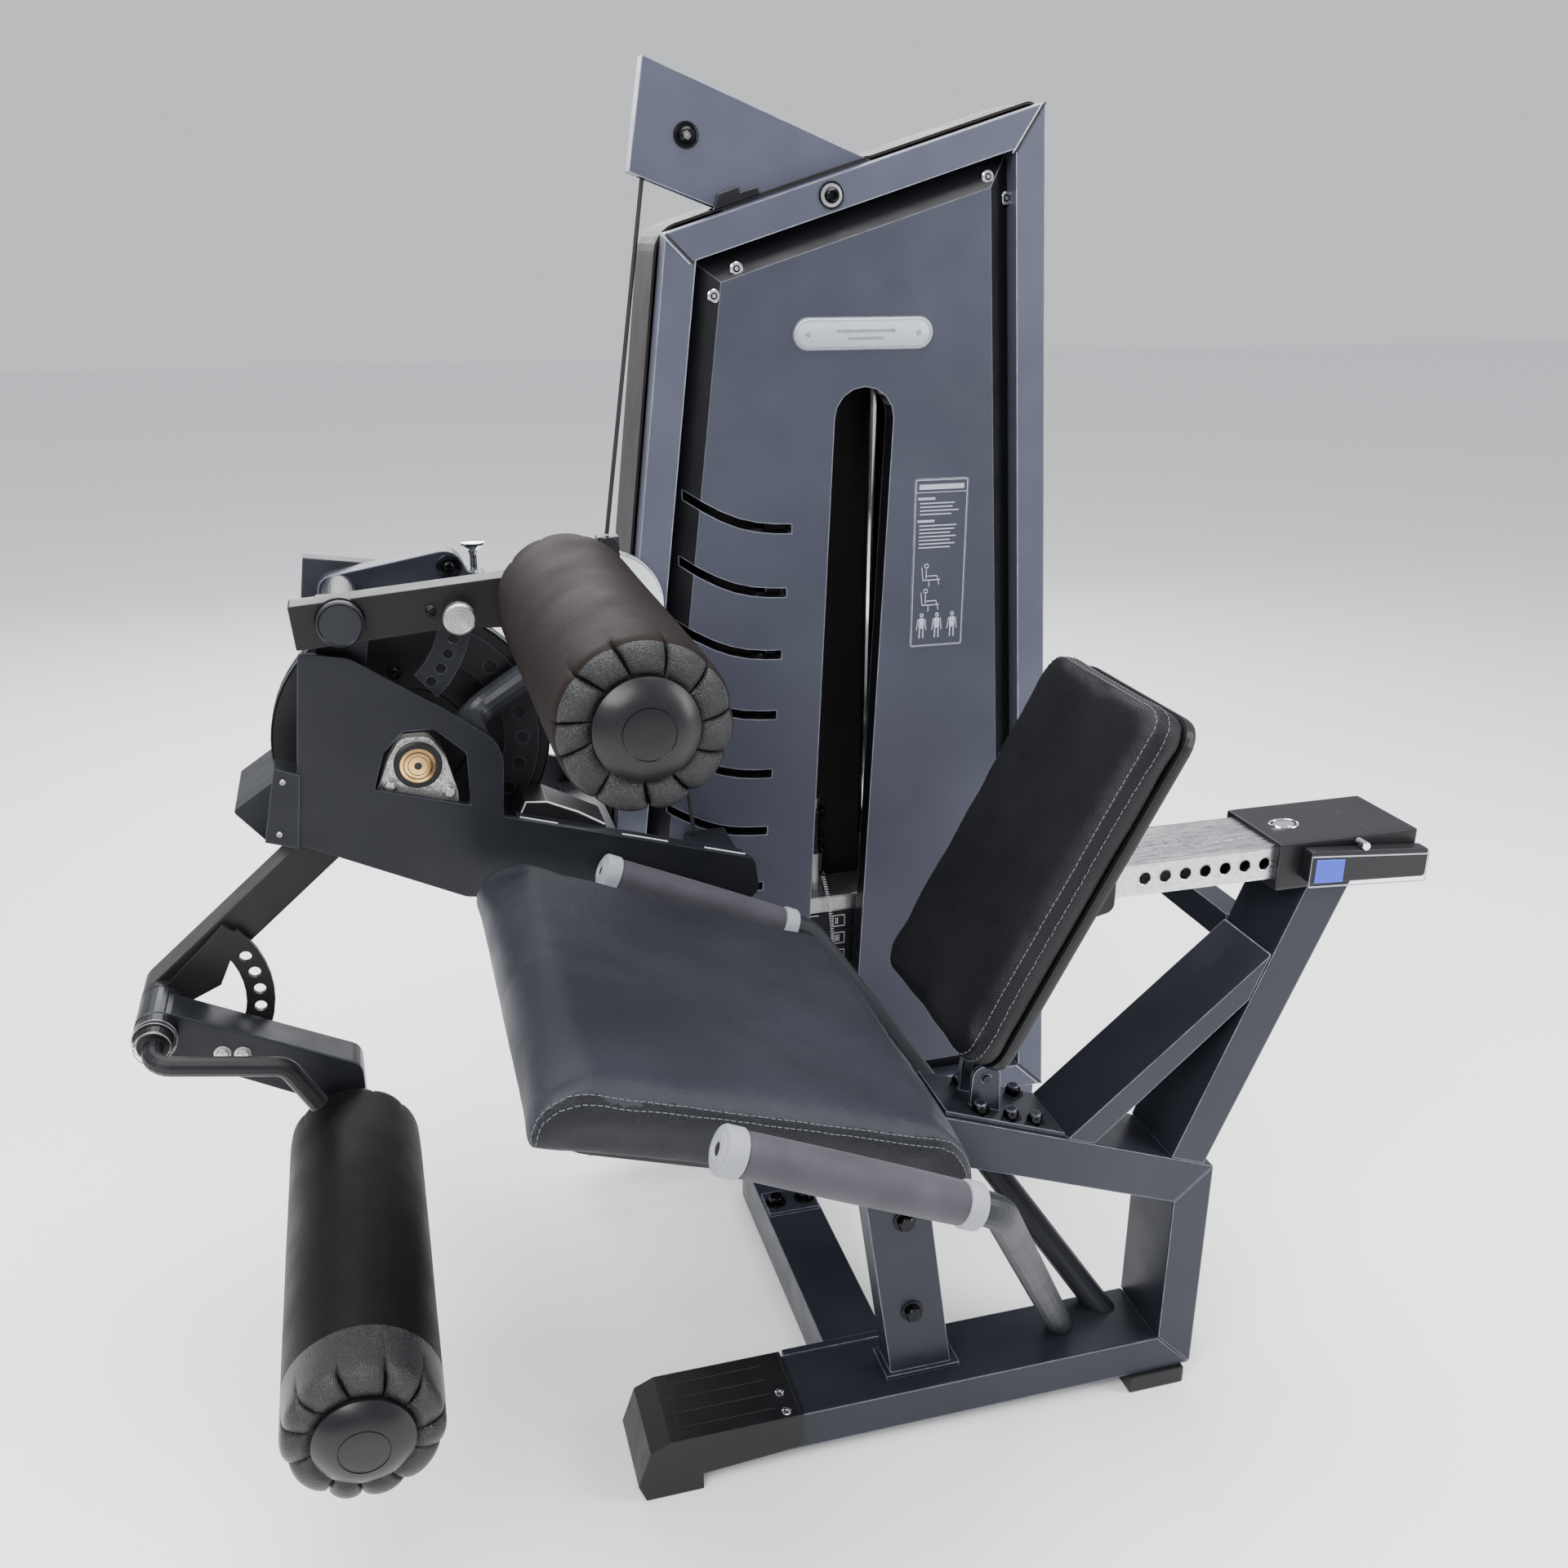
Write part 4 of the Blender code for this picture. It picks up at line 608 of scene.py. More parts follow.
def swollen(piece):
    """Fills the piece like a stuffed cover: a short cloth run under pressure, held to a small swell."""
    remesh = piece.modifiers.new("remesh", "REMESH")
    remesh.mode = "VOXEL"
    remesh.voxel_size = VOXEL
    applied(piece)
    rest = np.array([vert.co for vert in piece.data.vertices])
    cloth = piece.modifiers.new("cloth", "CLOTH")
    cloth.settings.use_pressure = True
    cloth.settings.uniform_pressure_force = SWELL_PRESSURE
    cloth.settings.effector_weights.gravity = 0.0
    scene = bpy.context.scene
    for frame in range(1, SWELL_FRAMES + 1):
        scene.frame_set(frame)
    applied(piece)
    scene.frame_set(1)
    now = np.array([vert.co for vert in piece.data.vertices])
    travel = now - rest
    length = np.linalg.norm(travel, axis=1, keepdims=True)
    now = rest + travel * np.minimum(1.0, SWELL_CAP / np.maximum(length, 1e-9))
    piece.data.vertices.foreach_set("co", now.astype(np.float32).ravel())
    bm = bmesh.new()
    bm.from_mesh(piece.data)
    for _ in range(4):
        bmesh.ops.smooth_vert(bm, verts=bm.verts, factor=0.5,
                              use_axis_x=True, use_axis_y=True, use_axis_z=True)
    bm.to_mesh(piece.data)
    bm.free()


def furrowed(piece, paths, width, depth):
    """Presses the seams into the piece: points near a path sink along their normals."""
    mesh = piece.data
    tree = surface(mesh)
    marks = np.array([tree.find_nearest(point)[0] for path in paths for point in path])
    normals = [vert.normal.copy() for vert in mesh.vertices]
    for vert, normal in zip(mesh.vertices, normals):
        gap = np.sqrt(np.min(np.sum((marks - np.array(vert.co)) ** 2, axis=1)))
        if gap < width * 2.5:
            vert.co = vert.co - normal * depth * math.exp(-(gap / width) ** 2)


def finished_pad(piece, looks, body, node):
    """Refines and ripples the pad and puts it in place of its node; a second look goes on its two sides."""
    subdivision = piece.modifiers.new("subdivision", "SUBSURF")
    subdivision.levels = 1
    subdivision.render_levels = 1
    applied(piece)
    moved = []
    for vert in piece.data.vertices:
        ripple = noise.noise(vert.co * 16.0) * 0.0005 + noise.noise(vert.co * 45.0) * 0.0002
        moved.extend(vert.co + vert.normal * ripple)
    piece.data.vertices.foreach_set("co", moved)
    piece.data.update()
    piece.data.materials.clear()
    for look in looks:
        piece.data.materials.append(LOOKS[look])
    for face in piece.data.polygons:
        face.material_index = 1 if len(looks) > 1 and abs(face.normal.y) > 0.8 else 0
    piece.data.shade_smooth()
    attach(piece, body)
    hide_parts(node)


def resampled(path, pitch):
    """Points along a path, one pitch apart, each with the direction of the path there."""
    points = []
    left = 0.0
    for start, end in zip(path, path[1:]):
        length = (end - start).length
        if length < 1e-9:
            continue
        forward = (end - start) / length
        while left <= length:
            points.append((start + forward * left, forward))
            left += pitch
        left -= length
    return points


def stitched(name, piece, rows, body):
    """Rows of thread laid on the piece; each stitch sinks into the cover at both ends."""
    tree = surface(piece.data)
    shape = Shape()
    for row in rows:
        landed = [tree.find_nearest(point) for point in row]
        for point, forward in resampled([spot for spot, *_ in landed], STITCH_PITCH):
            spot, normal, *_ = tree.find_nearest(point)
            path = []
            for share in (-0.5, -0.3, 0.0, 0.3, 0.5):
                lift = STITCH_RADIUS * (1.1 - 6.0 * share * share)
                path.append(spot + forward * STITCH_LENGTH * share + normal * lift - BENCH)
            shape.tube(path, STITCH_RADIUS, 6)
    shape.place(name, "thread", body, angle=80.0)


def beam_top(x):
    """Height of the sloping seat beam's top face."""
    return 0.291 + 0.374 * (0.83 - x)


def seat_half(x):
    """Half the width of the tapering seat pad."""
    return 0.24 - 0.03 * (x - 0.074) / 0.402


def seat_profile(inset):
    """The seat's side outline over its top, from front to rear: (X, height above the seat beam)."""
    low = 0.0012 + inset
    high = 0.0672 - inset
    front = 0.0735 + inset
    rear = 0.4765 - inset
    nose = 0.062
    heel = 0.035
    flat = rear - front - nose - heel
    lip = low + 0.010
    quarter = [math.radians(90 * step / 12) for step in range(13)]
    points = [(front + nose * (1 - math.cos(turn)), low + (high - low) * math.sin(turn)) for turn in quarter]
    points += [(front + nose + flat * step / 24, high) for step in range(1, 24)]
    points += [(rear - heel * (1 - math.sin(turn)), lip + (high - lip) * math.cos(turn)) for turn in quarter]
    return points


def seat_row(side, inset):
    """A line along the cushion's edge: on its side panel, or on its top where the inset is negative."""
    outwards = 0.004 if inset >= 0 else -0.0042
    outline = seat_profile(max(inset, 0.0005))[:-2]
    return [Vector((x, side * (seat_half(x) + outwards), beam_top(x) + height)) + BENCH
            for x, height in outline]


def seat_cushion():
    """The seat pad: one sheet runs over front, top and rear, and a panel is sewn in on each side."""
    stations = ((0.0, 0.010), (0.0025, 0.0045), (0.006, 0.0015), (0.012, 0.0))
    circles = []
    for side in (-1, 1):
        for margin, inset in stations[::-side]:
            outline = seat_profile(inset)
            circles.append([(x, side * (seat_half(x) - margin), beam_top(x) + height)
                            for x, height in outline])
    shape = Shape()
    shape.rings(circles)
    piece = shape.build("seat_cushion", "seat_leather")
    swollen(piece)
    furrowed(piece, [seat_row(side, 0.0) for side in (-1, 1)], 0.0028, 0.0012)
    finished_pad(piece, ("seat_leather", "side_leather"), "machine_frame", "seat_pad")
    rows = [seat_row(side, inset) for inset in (-0.0036, 0.0060) for side in (-1, 1)]
    stitched("seat_stitching", piece, rows, "machine_frame")


def back_cushion():
    """The back pad: its face is a panel sewn to the side wall all the way round."""
    piece = shrunk_copy("back_pad", "back_cushion", (0.985, 0.98, 0.985))
    swollen(piece)
    bottom = Vector((0.490, 0.0, 0.506))
    top = Vector((0.677, 0.0, 0.855))
    length = (top - bottom).length
    along = (top - bottom).normalized()
    behind = Vector((along.z, 0.0, -along.x))
    half = 0.121
    rows = {}
    for row, inset, depth in (("seam", 0.001, 0.007), ("face", 0.010, 0.0), ("side", -0.001, 0.0125)):
        outline = rounded_rectangle(inset, -half + inset, length - inset, half - inset, 0.03 - inset, 8)
        path = [bottom + along * s + Vector((0.0, y, 0.0)) + behind * depth + BENCH for s, y in outline]
        rows[row] = path + path[:1]
    seam = [point for point, _ in resampled(rows["seam"], 0.004)]
    furrowed(piece, [seam], 0.003, 0.0013)
    finished_pad(piece, ("back_leather",), "backrest", "back_pad")
    rows = [[point for point, _ in resampled(rows[row], 0.004)] for row in ("face", "side")]
    stitched("back_stitching", piece, rows, "backrest")


def smooth_rows(rows, steps):
    """Rows of numbers with a smooth curve drawn through them."""
    points = [np.array(row) for row in [rows[0], *rows, rows[-1]]]
    made = []
    for before, start, end, after in zip(points, points[1:], points[2:], points[3:]):
        for step in range(steps):
            t = step / steps
            bend = (2 * before - 5 * start + 4 * end - after) * t * t
            bend += (3 * start - before - 3 * end + after) * t ** 3
            made.append((2 * start + (end - before) * t + bend) / 2)
    return made + [points[-1]]


def gathered_end(radius):
    """One end of a cover: (distance from the end, radius, how far a crease sinks, how far it narrows)."""
    rows = [(0.0030, 0.012, 0.0, 0.0), (0.0030, 0.034, 0.0, 0.0), (0.0, 0.042, 0.002, 0.0),
            (-0.0030, 0.048, 0.006, 0.0), (-0.0042, radius - 0.0175, 0.009, 0.0004),
            (-0.0034, radius - 0.0115, 0.0105, 0.0015), (-0.0008, radius - 0.0060, 0.0095, 0.0035),
            (0.0028, radius - 0.0026, 0.0065, 0.0050), (0.0075, radius - 0.0006, 0.0035, 0.0052),
            (0.0130, radius, 0.001, 0.0036), (0.0220, radius, 0.0, 0.0014), (0.0380, radius, 0.0, 0.0)]
    return smooth_rows(rows, 4)


def roller_cover(name, node, body, looks, slot, band, seed):
    """A roller's sleeve, gathered in pleats at its ends; the band is how far from the near end the second
    look runs: the gathered leather, and on the lower roller also a lighter bluish band that is a painted
    reflection.
    """
    low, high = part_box(node)
    centre = (low + high) / 2 - BENCH
    length = high.y - low.y
    chance = random.Random(seed)
    starts = [index + chance.uniform(-0.17, 0.17) for index in range(PLEATS)]
    depths = [chance.uniform(0.75, 1.2) for _ in starts]
    near_end = gathered_end((high.x - low.x) / 2)
    middle = [(near_end[-1][0] + (length - 2 * near_end[-1][0]) * step / 40, near_end[-1][1], 0.0, 0.0)
              for step in range(1, 40)]
    far_end = [(length - along, size, -sink * FAR_GATHER, narrow * FAR_GATHER)
               for along, size, sink, narrow in near_end[::-1]]
    circles = []
    picks = []
    for along, size, sink, narrow in near_end + middle + far_end:
        circle = []
        twist = 0.10 * (size - 0.042) / 0.03
        for pleat in range(PLEATS):
            start = starts[pleat]
            end = starts[(pleat + 1) % PLEATS] + (PLEATS if pleat == PLEATS - 1 else 0)
            for sample in range(PLEAT_SAMPLES):
                share = sample / PLEAT_SAMPLES
                depth = depths[pleat] * (1 - share) + depths[(pleat + 1) % PLEATS] * share
                crease = depth * (1.0 - math.sin(math.pi * share) ** 0.32)
                angle = math.tau * (start + (end - start) * share) / PLEATS + twist
                spot = Vector((math.cos(angle), 0.0, math.sin(angle)))
                wave = noise.noise(spot * 1.6 + Vector((seed, along * 9.0, 0.0))) * 0.0004
                reach = size - crease * narrow + wave
                circle.append((centre.x + reach * spot.x, low.y - BENCH.y + along + crease * sink,
                               centre.z + reach * spot.z))
        circles.append(circle)
        # The second look covers the band: gathered leather, and on the lower roller a painted reflection
        # beyond the pleats
        picks.append(1 if along < band or along > length - 0.008 else 0)
    shape = Shape()
    shape.rings(circles, look=picks[1:])
    piece = shape.place(name, looks, body, slot, 60.0)
    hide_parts(node)


def grip(name, node):
    """A foam grip between two collars, with a plug in the tube's end."""
    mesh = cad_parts[node].data
    points = np.array([vert.co for vert in mesh.vertices])
    middle = Vector(points.mean(axis=0)) - BENCH
    forward = Vector((0.218, 0.0, -0.097)).normalized()
    spans = (points - points.mean(axis=0)) @ np.array(forward)
    start = middle + forward * float(spans.min())
    length = float(spans.max() - spans.min())
    grip_sleeve(name, node, start, forward, length)
    grip_collars(name + "_collars", start, forward, length)
    grip_plug(name, start, forward)


def grip_sleeve(name, node, start, forward, length):
    """The foam sleeve, which bulges slightly between its ends."""
    size = 0.0188
    profile = [(0.0188, GRIP_BORE), (0.0188, size - 0.002), (0.0196, size - 0.0006)]
    for step in range(13):
        share = step / 12
        profile.append((0.021 + (length - 0.040) * share, size + 0.0007 * math.sin(math.pi * share)))
    end = length - 0.0172
    profile += [(length - 0.0178, size - 0.0006), (end, size - 0.002), (end, GRIP_BORE)]
    shape = Shape()
    shape.turned(profile, start, forward, 48)
    piece = shape.place(name, "foam", slot="grip_grey")
    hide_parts(node)


def grip_collars(name, start, forward, length):
    """The light collars at both ends of a grip."""
    size = 0.0206
    shape = Shape()
    for low, high in ((0.0, 0.0184), (length - 0.0168, length)):
        shape.turned([(low, GRIP_BORE), (low, size - 0.0035), (low + 0.0012, size - 0.0012),
                      (low + 0.003, size), (high - 0.0015, size), (high, size - 0.0012),
                      (high, GRIP_BORE)], start, forward, 48)
    shape.place(name, "collar", slot="grip_grey")


def grip_plug(name, start, forward):
    """The plug in the end of the tube, with a hole in its middle."""
    plug = Shape()
    plug.turned([(0.0015, 0.0), (0.0015, 0.0052), (-0.0010, 0.0058), (-0.0026, 0.0080), (-0.0022, 0.0125),
                 (-0.0004, 0.0150), (0.0016, 0.0152)], start, forward, 40)
    plug.place(name + "_plug", "collar", slot="grip_grey")
    hole = Shape()
    hole.turned([(0.0018, 0.0), (-0.0006, 0.0001), (-0.0006, 0.0053), (0.0012, 0.0055)], start, forward, 28)
    hole.place(name + "_hole", "void", slot="black_plastic")


# ---------------------------------------------------------------- weight tower

def tower_fittings():
    """Screws, corner seams and a painted highlight beside each seam on the tower's front."""
    screws = Shape()
    socket_screw(screws, (0.525, TOWER_FACE, 1.284), 0.0085, height=0.007, washer_look=1)
    screws.circle((0.525, TOWER_FACE - 0.0012, 1.284), 0.0135, 0.0011)
    screws.place("tower_main_screw", ("dark_steel", "steel"))
    small = Shape()
    for x, z in ((0.419, 1.209), (0.393, 1.181), (0.711, 1.305), (0.740, 1.283)):
        small.turned([(0.0, 0.0072), (0.0035, 0.0072), (0.0042, 0.0062), (0.0042, 0.0048)],
                     (x, bevel_face(x, z), z), look=1)
        socket_screw(small, (x, bevel_face(x, z) - 0.001, z), 0.0046, height=0.004, washer=False)
    small.place("tower_panel_screws", ("dark_steel", "chrome"))
    seams = Shape()
    corners = (((0.7725, 1.3815), (0.7405, 1.3305)), ((0.3405, 1.2445), (0.3705, 1.2150)),
               ((0.856, 0.111), (0.8185, 0.1475)), ((0.2125, 0.111), (0.2535, 0.1475)))
    for outer, inner in corners:
        bead = [(x, TOWER_FACE - 0.0002, z) for x, z in (outer, inner)]
        seams.tube(bead, 0.0011, 8)
        # Painted highlight: a light line beside the seam
        seam_highlight = [(x - 0.0042, y, z - 0.0012) for x, y, z in bead]
        seams.tube(seam_highlight, 0.0008, 8, look=1)
    seams.place("tower_corner_seams_and_highlights", ("void", "line"))


def bevel_face(x, z):
    """Depth of the sloping band round the tower's panel, from its distance to the frame's inner edge."""
    top_edge = 1.245 + (1.382 - 1.245) * (x - 0.340) / 0.433
    from_top = (top_edge - z) * 0.953 - FRAME_WIDTH
    left_edge = 0.340 - (1.245 - z) * 0.129 / 1.135
    right_edge = 0.773 + (1.382 - z) * 0.084 / 1.272
    from_side = min(x - left_edge, right_edge - x) - FRAME_WIDTH
    share = min(1.0, max(0.0, min(from_top, from_side) / BEVEL_WIDTH))
    return BEVEL_BACK + (PANEL_FACE - BEVEL_BACK) * share


def name_plate():
    """A blank plate with a raised rim and two rivets."""
    plate = Shape()
    outline = rounded_rectangle(0.484, 1.1225, 0.648, 1.1565, 0.0169, 10)
    plate.upright(outline, PANEL_FACE - 0.0014, 0.0009, 0.0004)
    plate.place("tower_name_plate", "badge", angle=50.0)
    rim = Shape()
    rim.line(shrunk(outline, 0.0022), PANEL_FACE - 0.0024, 0.0005)
    face = PANEL_FACE - 0.0022
    for x in (0.5, 0.632):
        rim.turned([(0.0, 0.0032), (0.0009, 0.0026), (0.0012, 0.0)], (x, face, 1.1395), sides=20)
    for left, right, z in ((0.533, 0.603, 1.1425), (0.546, 0.590, 1.1345)):
        rim.upright(rectangle(left, z - 0.0018, right, z + 0.0018), face, 0.0004)
    rim.place("tower_name_plate_trim", "steel")


def placard():
    """A sheet of plain bars, two seated figures and a row of three standing ones, without any words."""
    chance = random.Random(7)
    face = PANEL_FACE - 0.0009
    shape = Shape()
    shape.line(rounded_rectangle(0.6355, 0.7695, 0.7005, 0.9715, 0.002), face, 0.00045)
    shape.line(((0.6355, 0.957), (0.7005, 0.957)), face, 0.0004, closed=False)
    shape.upright(rectangle(0.6395, 0.9605, 0.6965, 0.9665), face)
    z = 0.951
    for group in (4, 7):
        shape.upright(rectangle(0.6385, z - 0.0028, 0.660, z), face)
        z -= 0.0062
        for _ in range(group):
            end = 0.652 + chance.uniform(0.028, 0.044)
            shape.upright(rectangle(0.641, z - 0.0014, end, z), face)
            z -= 0.0044
        z -= 0.003
    for base in (0.853, 0.822):
        seated_figure(shape, 0.652, base, face)
    for x in (0.648, 0.668, 0.688):
        standing_figure(shape, x, 0.779, face)
    shape.place("tower_placard_print", "line")


def seated_figure(shape, x, z, face):
    """A pictogram of someone on a seat, made of thin strokes."""
    strokes = (((0.0, 0.0), (0.0, 0.012)), ((0.0, 0.003), (0.014, 0.003)), ((0.014, 0.003), (0.017, -0.008)),
               ((-0.004, -0.002), (0.018, -0.002)), ((-0.004, -0.002), (-0.006, 0.014)),
               ((0.004, -0.002), (0.004, -0.01)))
    for stroke in strokes:
        shape.line([(x + across, z + up) for across, up in stroke], face, 0.0006, closed=False)
    shape.circle((x, face, z + 0.0155), 0.0024, 0.0006, sides=16)


def standing_figure(shape, x, z, face):
    """A pictogram of a standing body."""
    shape.upright(rounded_rectangle(x - 0.0035, z + 0.012, x + 0.0035, z + 0.025, 0.002, 3), face)
    for side in (-1, 1):
        leg = ((x + side * 0.0022, z + 0.012), (x + side * 0.0024, z))
        arm = ((x + side * 0.0045, z + 0.024), (x + side * 0.0062, z + 0.010))
        shape.line(leg, face, 0.0009, closed=False)
        shape.line(arm, face, 0.0006, closed=False)
    shape.circle((x, face, z + 0.0285), 0.0018, 0.0008, sides=16)


def plate_labels_and_highlights():
    """A framed label with up to five strokes on every plate, and a painted highlight along the plate's edge
    beside it.
    """
    labels = {"stack": Shape(), "machine_frame": Shape()}
    for row in range(PLATE_ROWS):
        body = "stack" if row < LIFTED_ROWS else "machine_frame"
        shape = labels[body]
        z = TOP_PLATE - PLATE_PITCH * row
        shape.line(rectangle(0.553, z - 0.0078, 0.569, z + 0.0078), STACK_FACE - 0.0003, 0.0007)
        for stroke in range(min(row + 1, 5)):
            x = 0.5562 + stroke * 0.0024
            shape.upright(rectangle(x, z - 0.0045, x + 0.0012, z + 0.0045), STACK_FACE, 0.0004)
        # Painted highlight: a light bar along the plate's edge
        shape.upright(rectangle(0.512, z + 0.0098, 0.533, z + 0.0112), STACK_FACE, 0.0006, 0.0002)
    for body, shape in labels.items():
        shape.place("plate_labels_and_highlights_" + body, "label", body)


def lanyard():
    """The curly cord that ties the selector pin to the weight stack."""
    start = Vector((0.5335, 0.447, 0.463))
    middle = Vector((0.549, 0.443, 0.405))
    end = Vector((0.548, 0.443, 0.340))
    path = []
    curls = 34
    steps = curls * 10
    for step in range(steps + 1):
        share = step / steps
        spot = start.lerp(middle, share).lerp(middle.lerp(end, share), share)
        angle = math.tau * curls * share
        path.append(spot + Vector((math.cos(angle), math.sin(angle), 0.0)) * CURL_RADIUS)
    # The cord is dark; its light colour is a painted highlight of its curls
    shape = Shape()
    shape.tube(path, 0.0006, 5)
    shape.place("selector_lanyard", "line", "stack")
    ends = Shape()
    ends.turned([(0.0, 0.0042), (0.004, 0.0042), (0.0052, 0.003)], start + UP * 0.001, UP, 20)
    for low, high, size in ((0.478, 0.484, 0.0155), (0.5335, 0.539, 0.0155), (0.484, 0.5335, 0.0125)):
        ends.turned([(low, size - 0.001), (low + 0.001, size), (high - 0.001, size), (high, size - 0.001)],
                    (0.535, 0.495, 0.0), UP, 28)
    ends.place("selector_stem_collars", "dark_steel", "stack")


def boom_fittings():
    """The boom's screws and the bracket at its foot."""
    shape = Shape()
    socket_screw(shape, (0.372, 0.4535, 1.343), 0.0095, height=0.008)
    shape.circle((0.372, 0.4525, 1.343), 0.0118, 0.001)
    hexagon_bolt(shape, (0.4945, 0.4535, 1.25), 0.0075, 0.006)
    shape.place("boom_screws", "dark_steel")
    bracket = Shape()
    bracket.upright([(0.400, 1.2685), (0.452, 1.2855), (0.449, 1.2925), (0.430, 1.287), (0.428, 1.293),
                     (0.405, 1.285)], 0.4535, 0.0055, 0.0008)
    bracket.place("boom_foot_bracket", "black")


# ---------------------------------------------------------------- bench and housing

def frame_screws():
    """The bolts on the posts, plates and ties of the bench."""
    shape = Shape()
    for x, y in ((0.555, -0.028), (0.555, 0.028), (0.618, -0.028), (0.618, 0.028), (0.59, -0.028)):
        hexagon_bolt(shape, (x, y, beam_top(x) + 0.005), 0.0072, 0.0092, UP)
    for x in (0.432, 0.470):
        hexagon_bolt(shape, (x, 0.310, BEAM_TOP + 0.004), 0.0085, 0.0102, UP)
    for x, z in ((0.4925, 0.152), (0.4800, 0.2720)):
        hexagon_bolt(shape, (x, -0.018, z), 0.0082, 0.0095)
    shape.place("bench_bolts", "dark_steel")


def foot_cap_details():
    """Grooves along the front hood, the two screws that hold it and the ridges across it."""
    lines = Shape()
    for y in (-0.032, -0.0105, 0.0105, 0.032):
        lines.tube([(0.224, y, CAP_TOP), (0.335, y, CAP_TOP)], 0.0007, 6)
    lines.place("foot_cap_grooves", "void")
    screws = Shape()
    for y in (-0.012, -0.040):
        screws.turned([(0.0, 0.0052), (0.0012, 0.0048), (0.002, 0.0034), (0.002, 0.0012), (0.0012, 0.001)],
                      (0.345, y, CAP_TOP), UP, 28)
    screws.place("foot_cap_screws", "chrome")
    ridges = Shape()
    for x in (0.2305, 0.3585):
        ridges.tube([(x, -0.046, CAP_TOP + 0.0001), (x, 0.046, CAP_TOP + 0.0001)], 0.0005, 6)
    ridges.place("foot_cap_ridges", "plastic")


def housing_fittings():
    """Painted highlights along the housing's top edge, and screws and piping on the lever housing."""
    edge_glints = Shape()
    slope = (0.562 - 0.6375) / (0.395 - 0.135)
    # Three light segments along the top edge: painted highlights
    for ends in ((0.137, 0.178), (0.250, 0.302), (0.345, 0.393)):
        strip = [(x, 0.6405 + slope * (x - 0.135) + 0.0003) for x in ends]
        edge_glints.line(strip, PLATE_NEAR + 0.0078, 0.0021, 8, closed=False)
    edge_glints.place("housing_edge_glints", "label")
    bracket = Shape()
    for x, z in ((-0.104, 0.7115), (-0.1135, 0.654)):
        socket_screw(bracket, (x, 0.296, z), 0.0035, height=0.003, washer=False)
    bracket.place("side_bracket_screws", "steel")
    trim = Shape()
    trim.line(((0.133, 0.622), (0.147, 0.6505), (0.170, 0.6485), (0.205, 0.6325), (0.234, 0.6145)), 0.328,
              0.0011, 8, closed=False)
    trim.place("tray_piping", "label")


def bearing_details():
    """The edge of the housing's window, and the bolts, ring and grooves of the bearing in it."""
    x = MAIN_AXIS.x
    z = MAIN_AXIS.z
    window = Shape()
    outline = [(x - 0.047, z - 0.021), (x + 0.052, z - 0.049), (x + 0.052, z + 0.012), (x + 0.02, z + 0.042),
               (x - 0.012, z + 0.042), (x - 0.035, z + 0.02)]
    window.line(outline, PLATE_NEAR - 0.0002, 0.0009, 8)
    window.place("housing_window_edge", "housing")
    screws = Shape()
    for across, down in ((-0.031, 0.0215), (0.031, 0.034)):
        hexagon_bolt(screws, (x + across, 0.3125, z - down), 0.0052, 0.0055)
    screws.place("pillow_block_bolts", "steel")
    rings = Shape()
    rings.turned([(0.0, 0.0255), (0.0035, 0.0255), (0.0045, 0.0242), (0.0045, 0.0195), (0.0, 0.0195)],
                 (x, 0.3105, z), sides=48)
    rings.place("bearing_ring", "plastic")
    grooves = Shape()
    for size in (0.0150, 0.0105):
        grooves.circle((x, 0.3050, z), size, 0.0005)
    grooves.turned([(0.0, 0.0042), (0.0008, 0.0040), (0.0008, 0.0)], (x, 0.3046, z), sides=28)
    grooves.place("shaft_cap_grooves", "void", "lever")


def cam_details():
    """Bright rim lines and bolts on the cam disc."""
    shape = Shape()
    at = (MAIN_AXIS.x, 0.3918, MAIN_AXIS.z)
    shape.circle(at, 0.1505, 0.0009, sides=96)
    shape.circle(at, 0.060, 0.0008, sides=64)
    for index in range(6):
        angle = math.radians(100 + 30 * index)
        spot = (at[0] + 0.082 * math.cos(angle), 0.3915, at[2] + 0.082 * math.sin(angle))
        hexagon_bolt(shape, spot, 0.005, 0.004)
    shape.place("cam_rim_and_bolts", "dark_steel", "lever")


def thigh_arm_details():
    """Rings on the thigh arm's cap and knob, and the screw beside them."""
    thigh = Shape()
    thigh.circle((THIGH_AXIS.x, ARM_FACE - 0.014, THIGH_AXIS.z), 0.0212, 0.0008)
    thigh.circle((THIGH_AXIS.x, ARM_FACE - 0.0012, THIGH_AXIS.z), 0.0242, 0.0011)
    socket_screw(thigh, (0.059, ARM_FACE - 0.0045, 0.885), 0.005, height=0.004, washer=False)
    thigh.place("thigh_arm_rings", "dark_steel", "thigh")
    rim = Shape()
    knob = (THIGH_AXIS.x + 0.1165, ARM_FACE - 0.025, THIGH_AXIS.z)
    for size in (0.0058, 0.0095, 0.013):
        rim.circle(knob, size, 0.0003)
    rim.place("thigh_knob_rings", "steel", "thigh_lock_knob")


def roller_arm_details():
    """The roller arm's bolts, and rings on the hub of its release handle."""
    bolts = Shape()
    for x, z in ((-0.196, 0.4255), (-0.176, 0.4215)):
        hexagon_bolt(bolts, (x, 0.2585, z), 0.0058, 0.005)
    bolts.place("roller_arm_bolts", "steel", "roller_arm_body")
    rings = Shape()
    for y, size in ((0.2265, 0.0165), (0.2205, 0.0186), (0.2355, 0.0218), (0.2425, 0.0218)):
        rings.circle((BOSS_AXIS.x, y, BOSS_AXIS.z), size, 0.0006)
    rings.place("release_handle_rings", "steel", "roller_release")


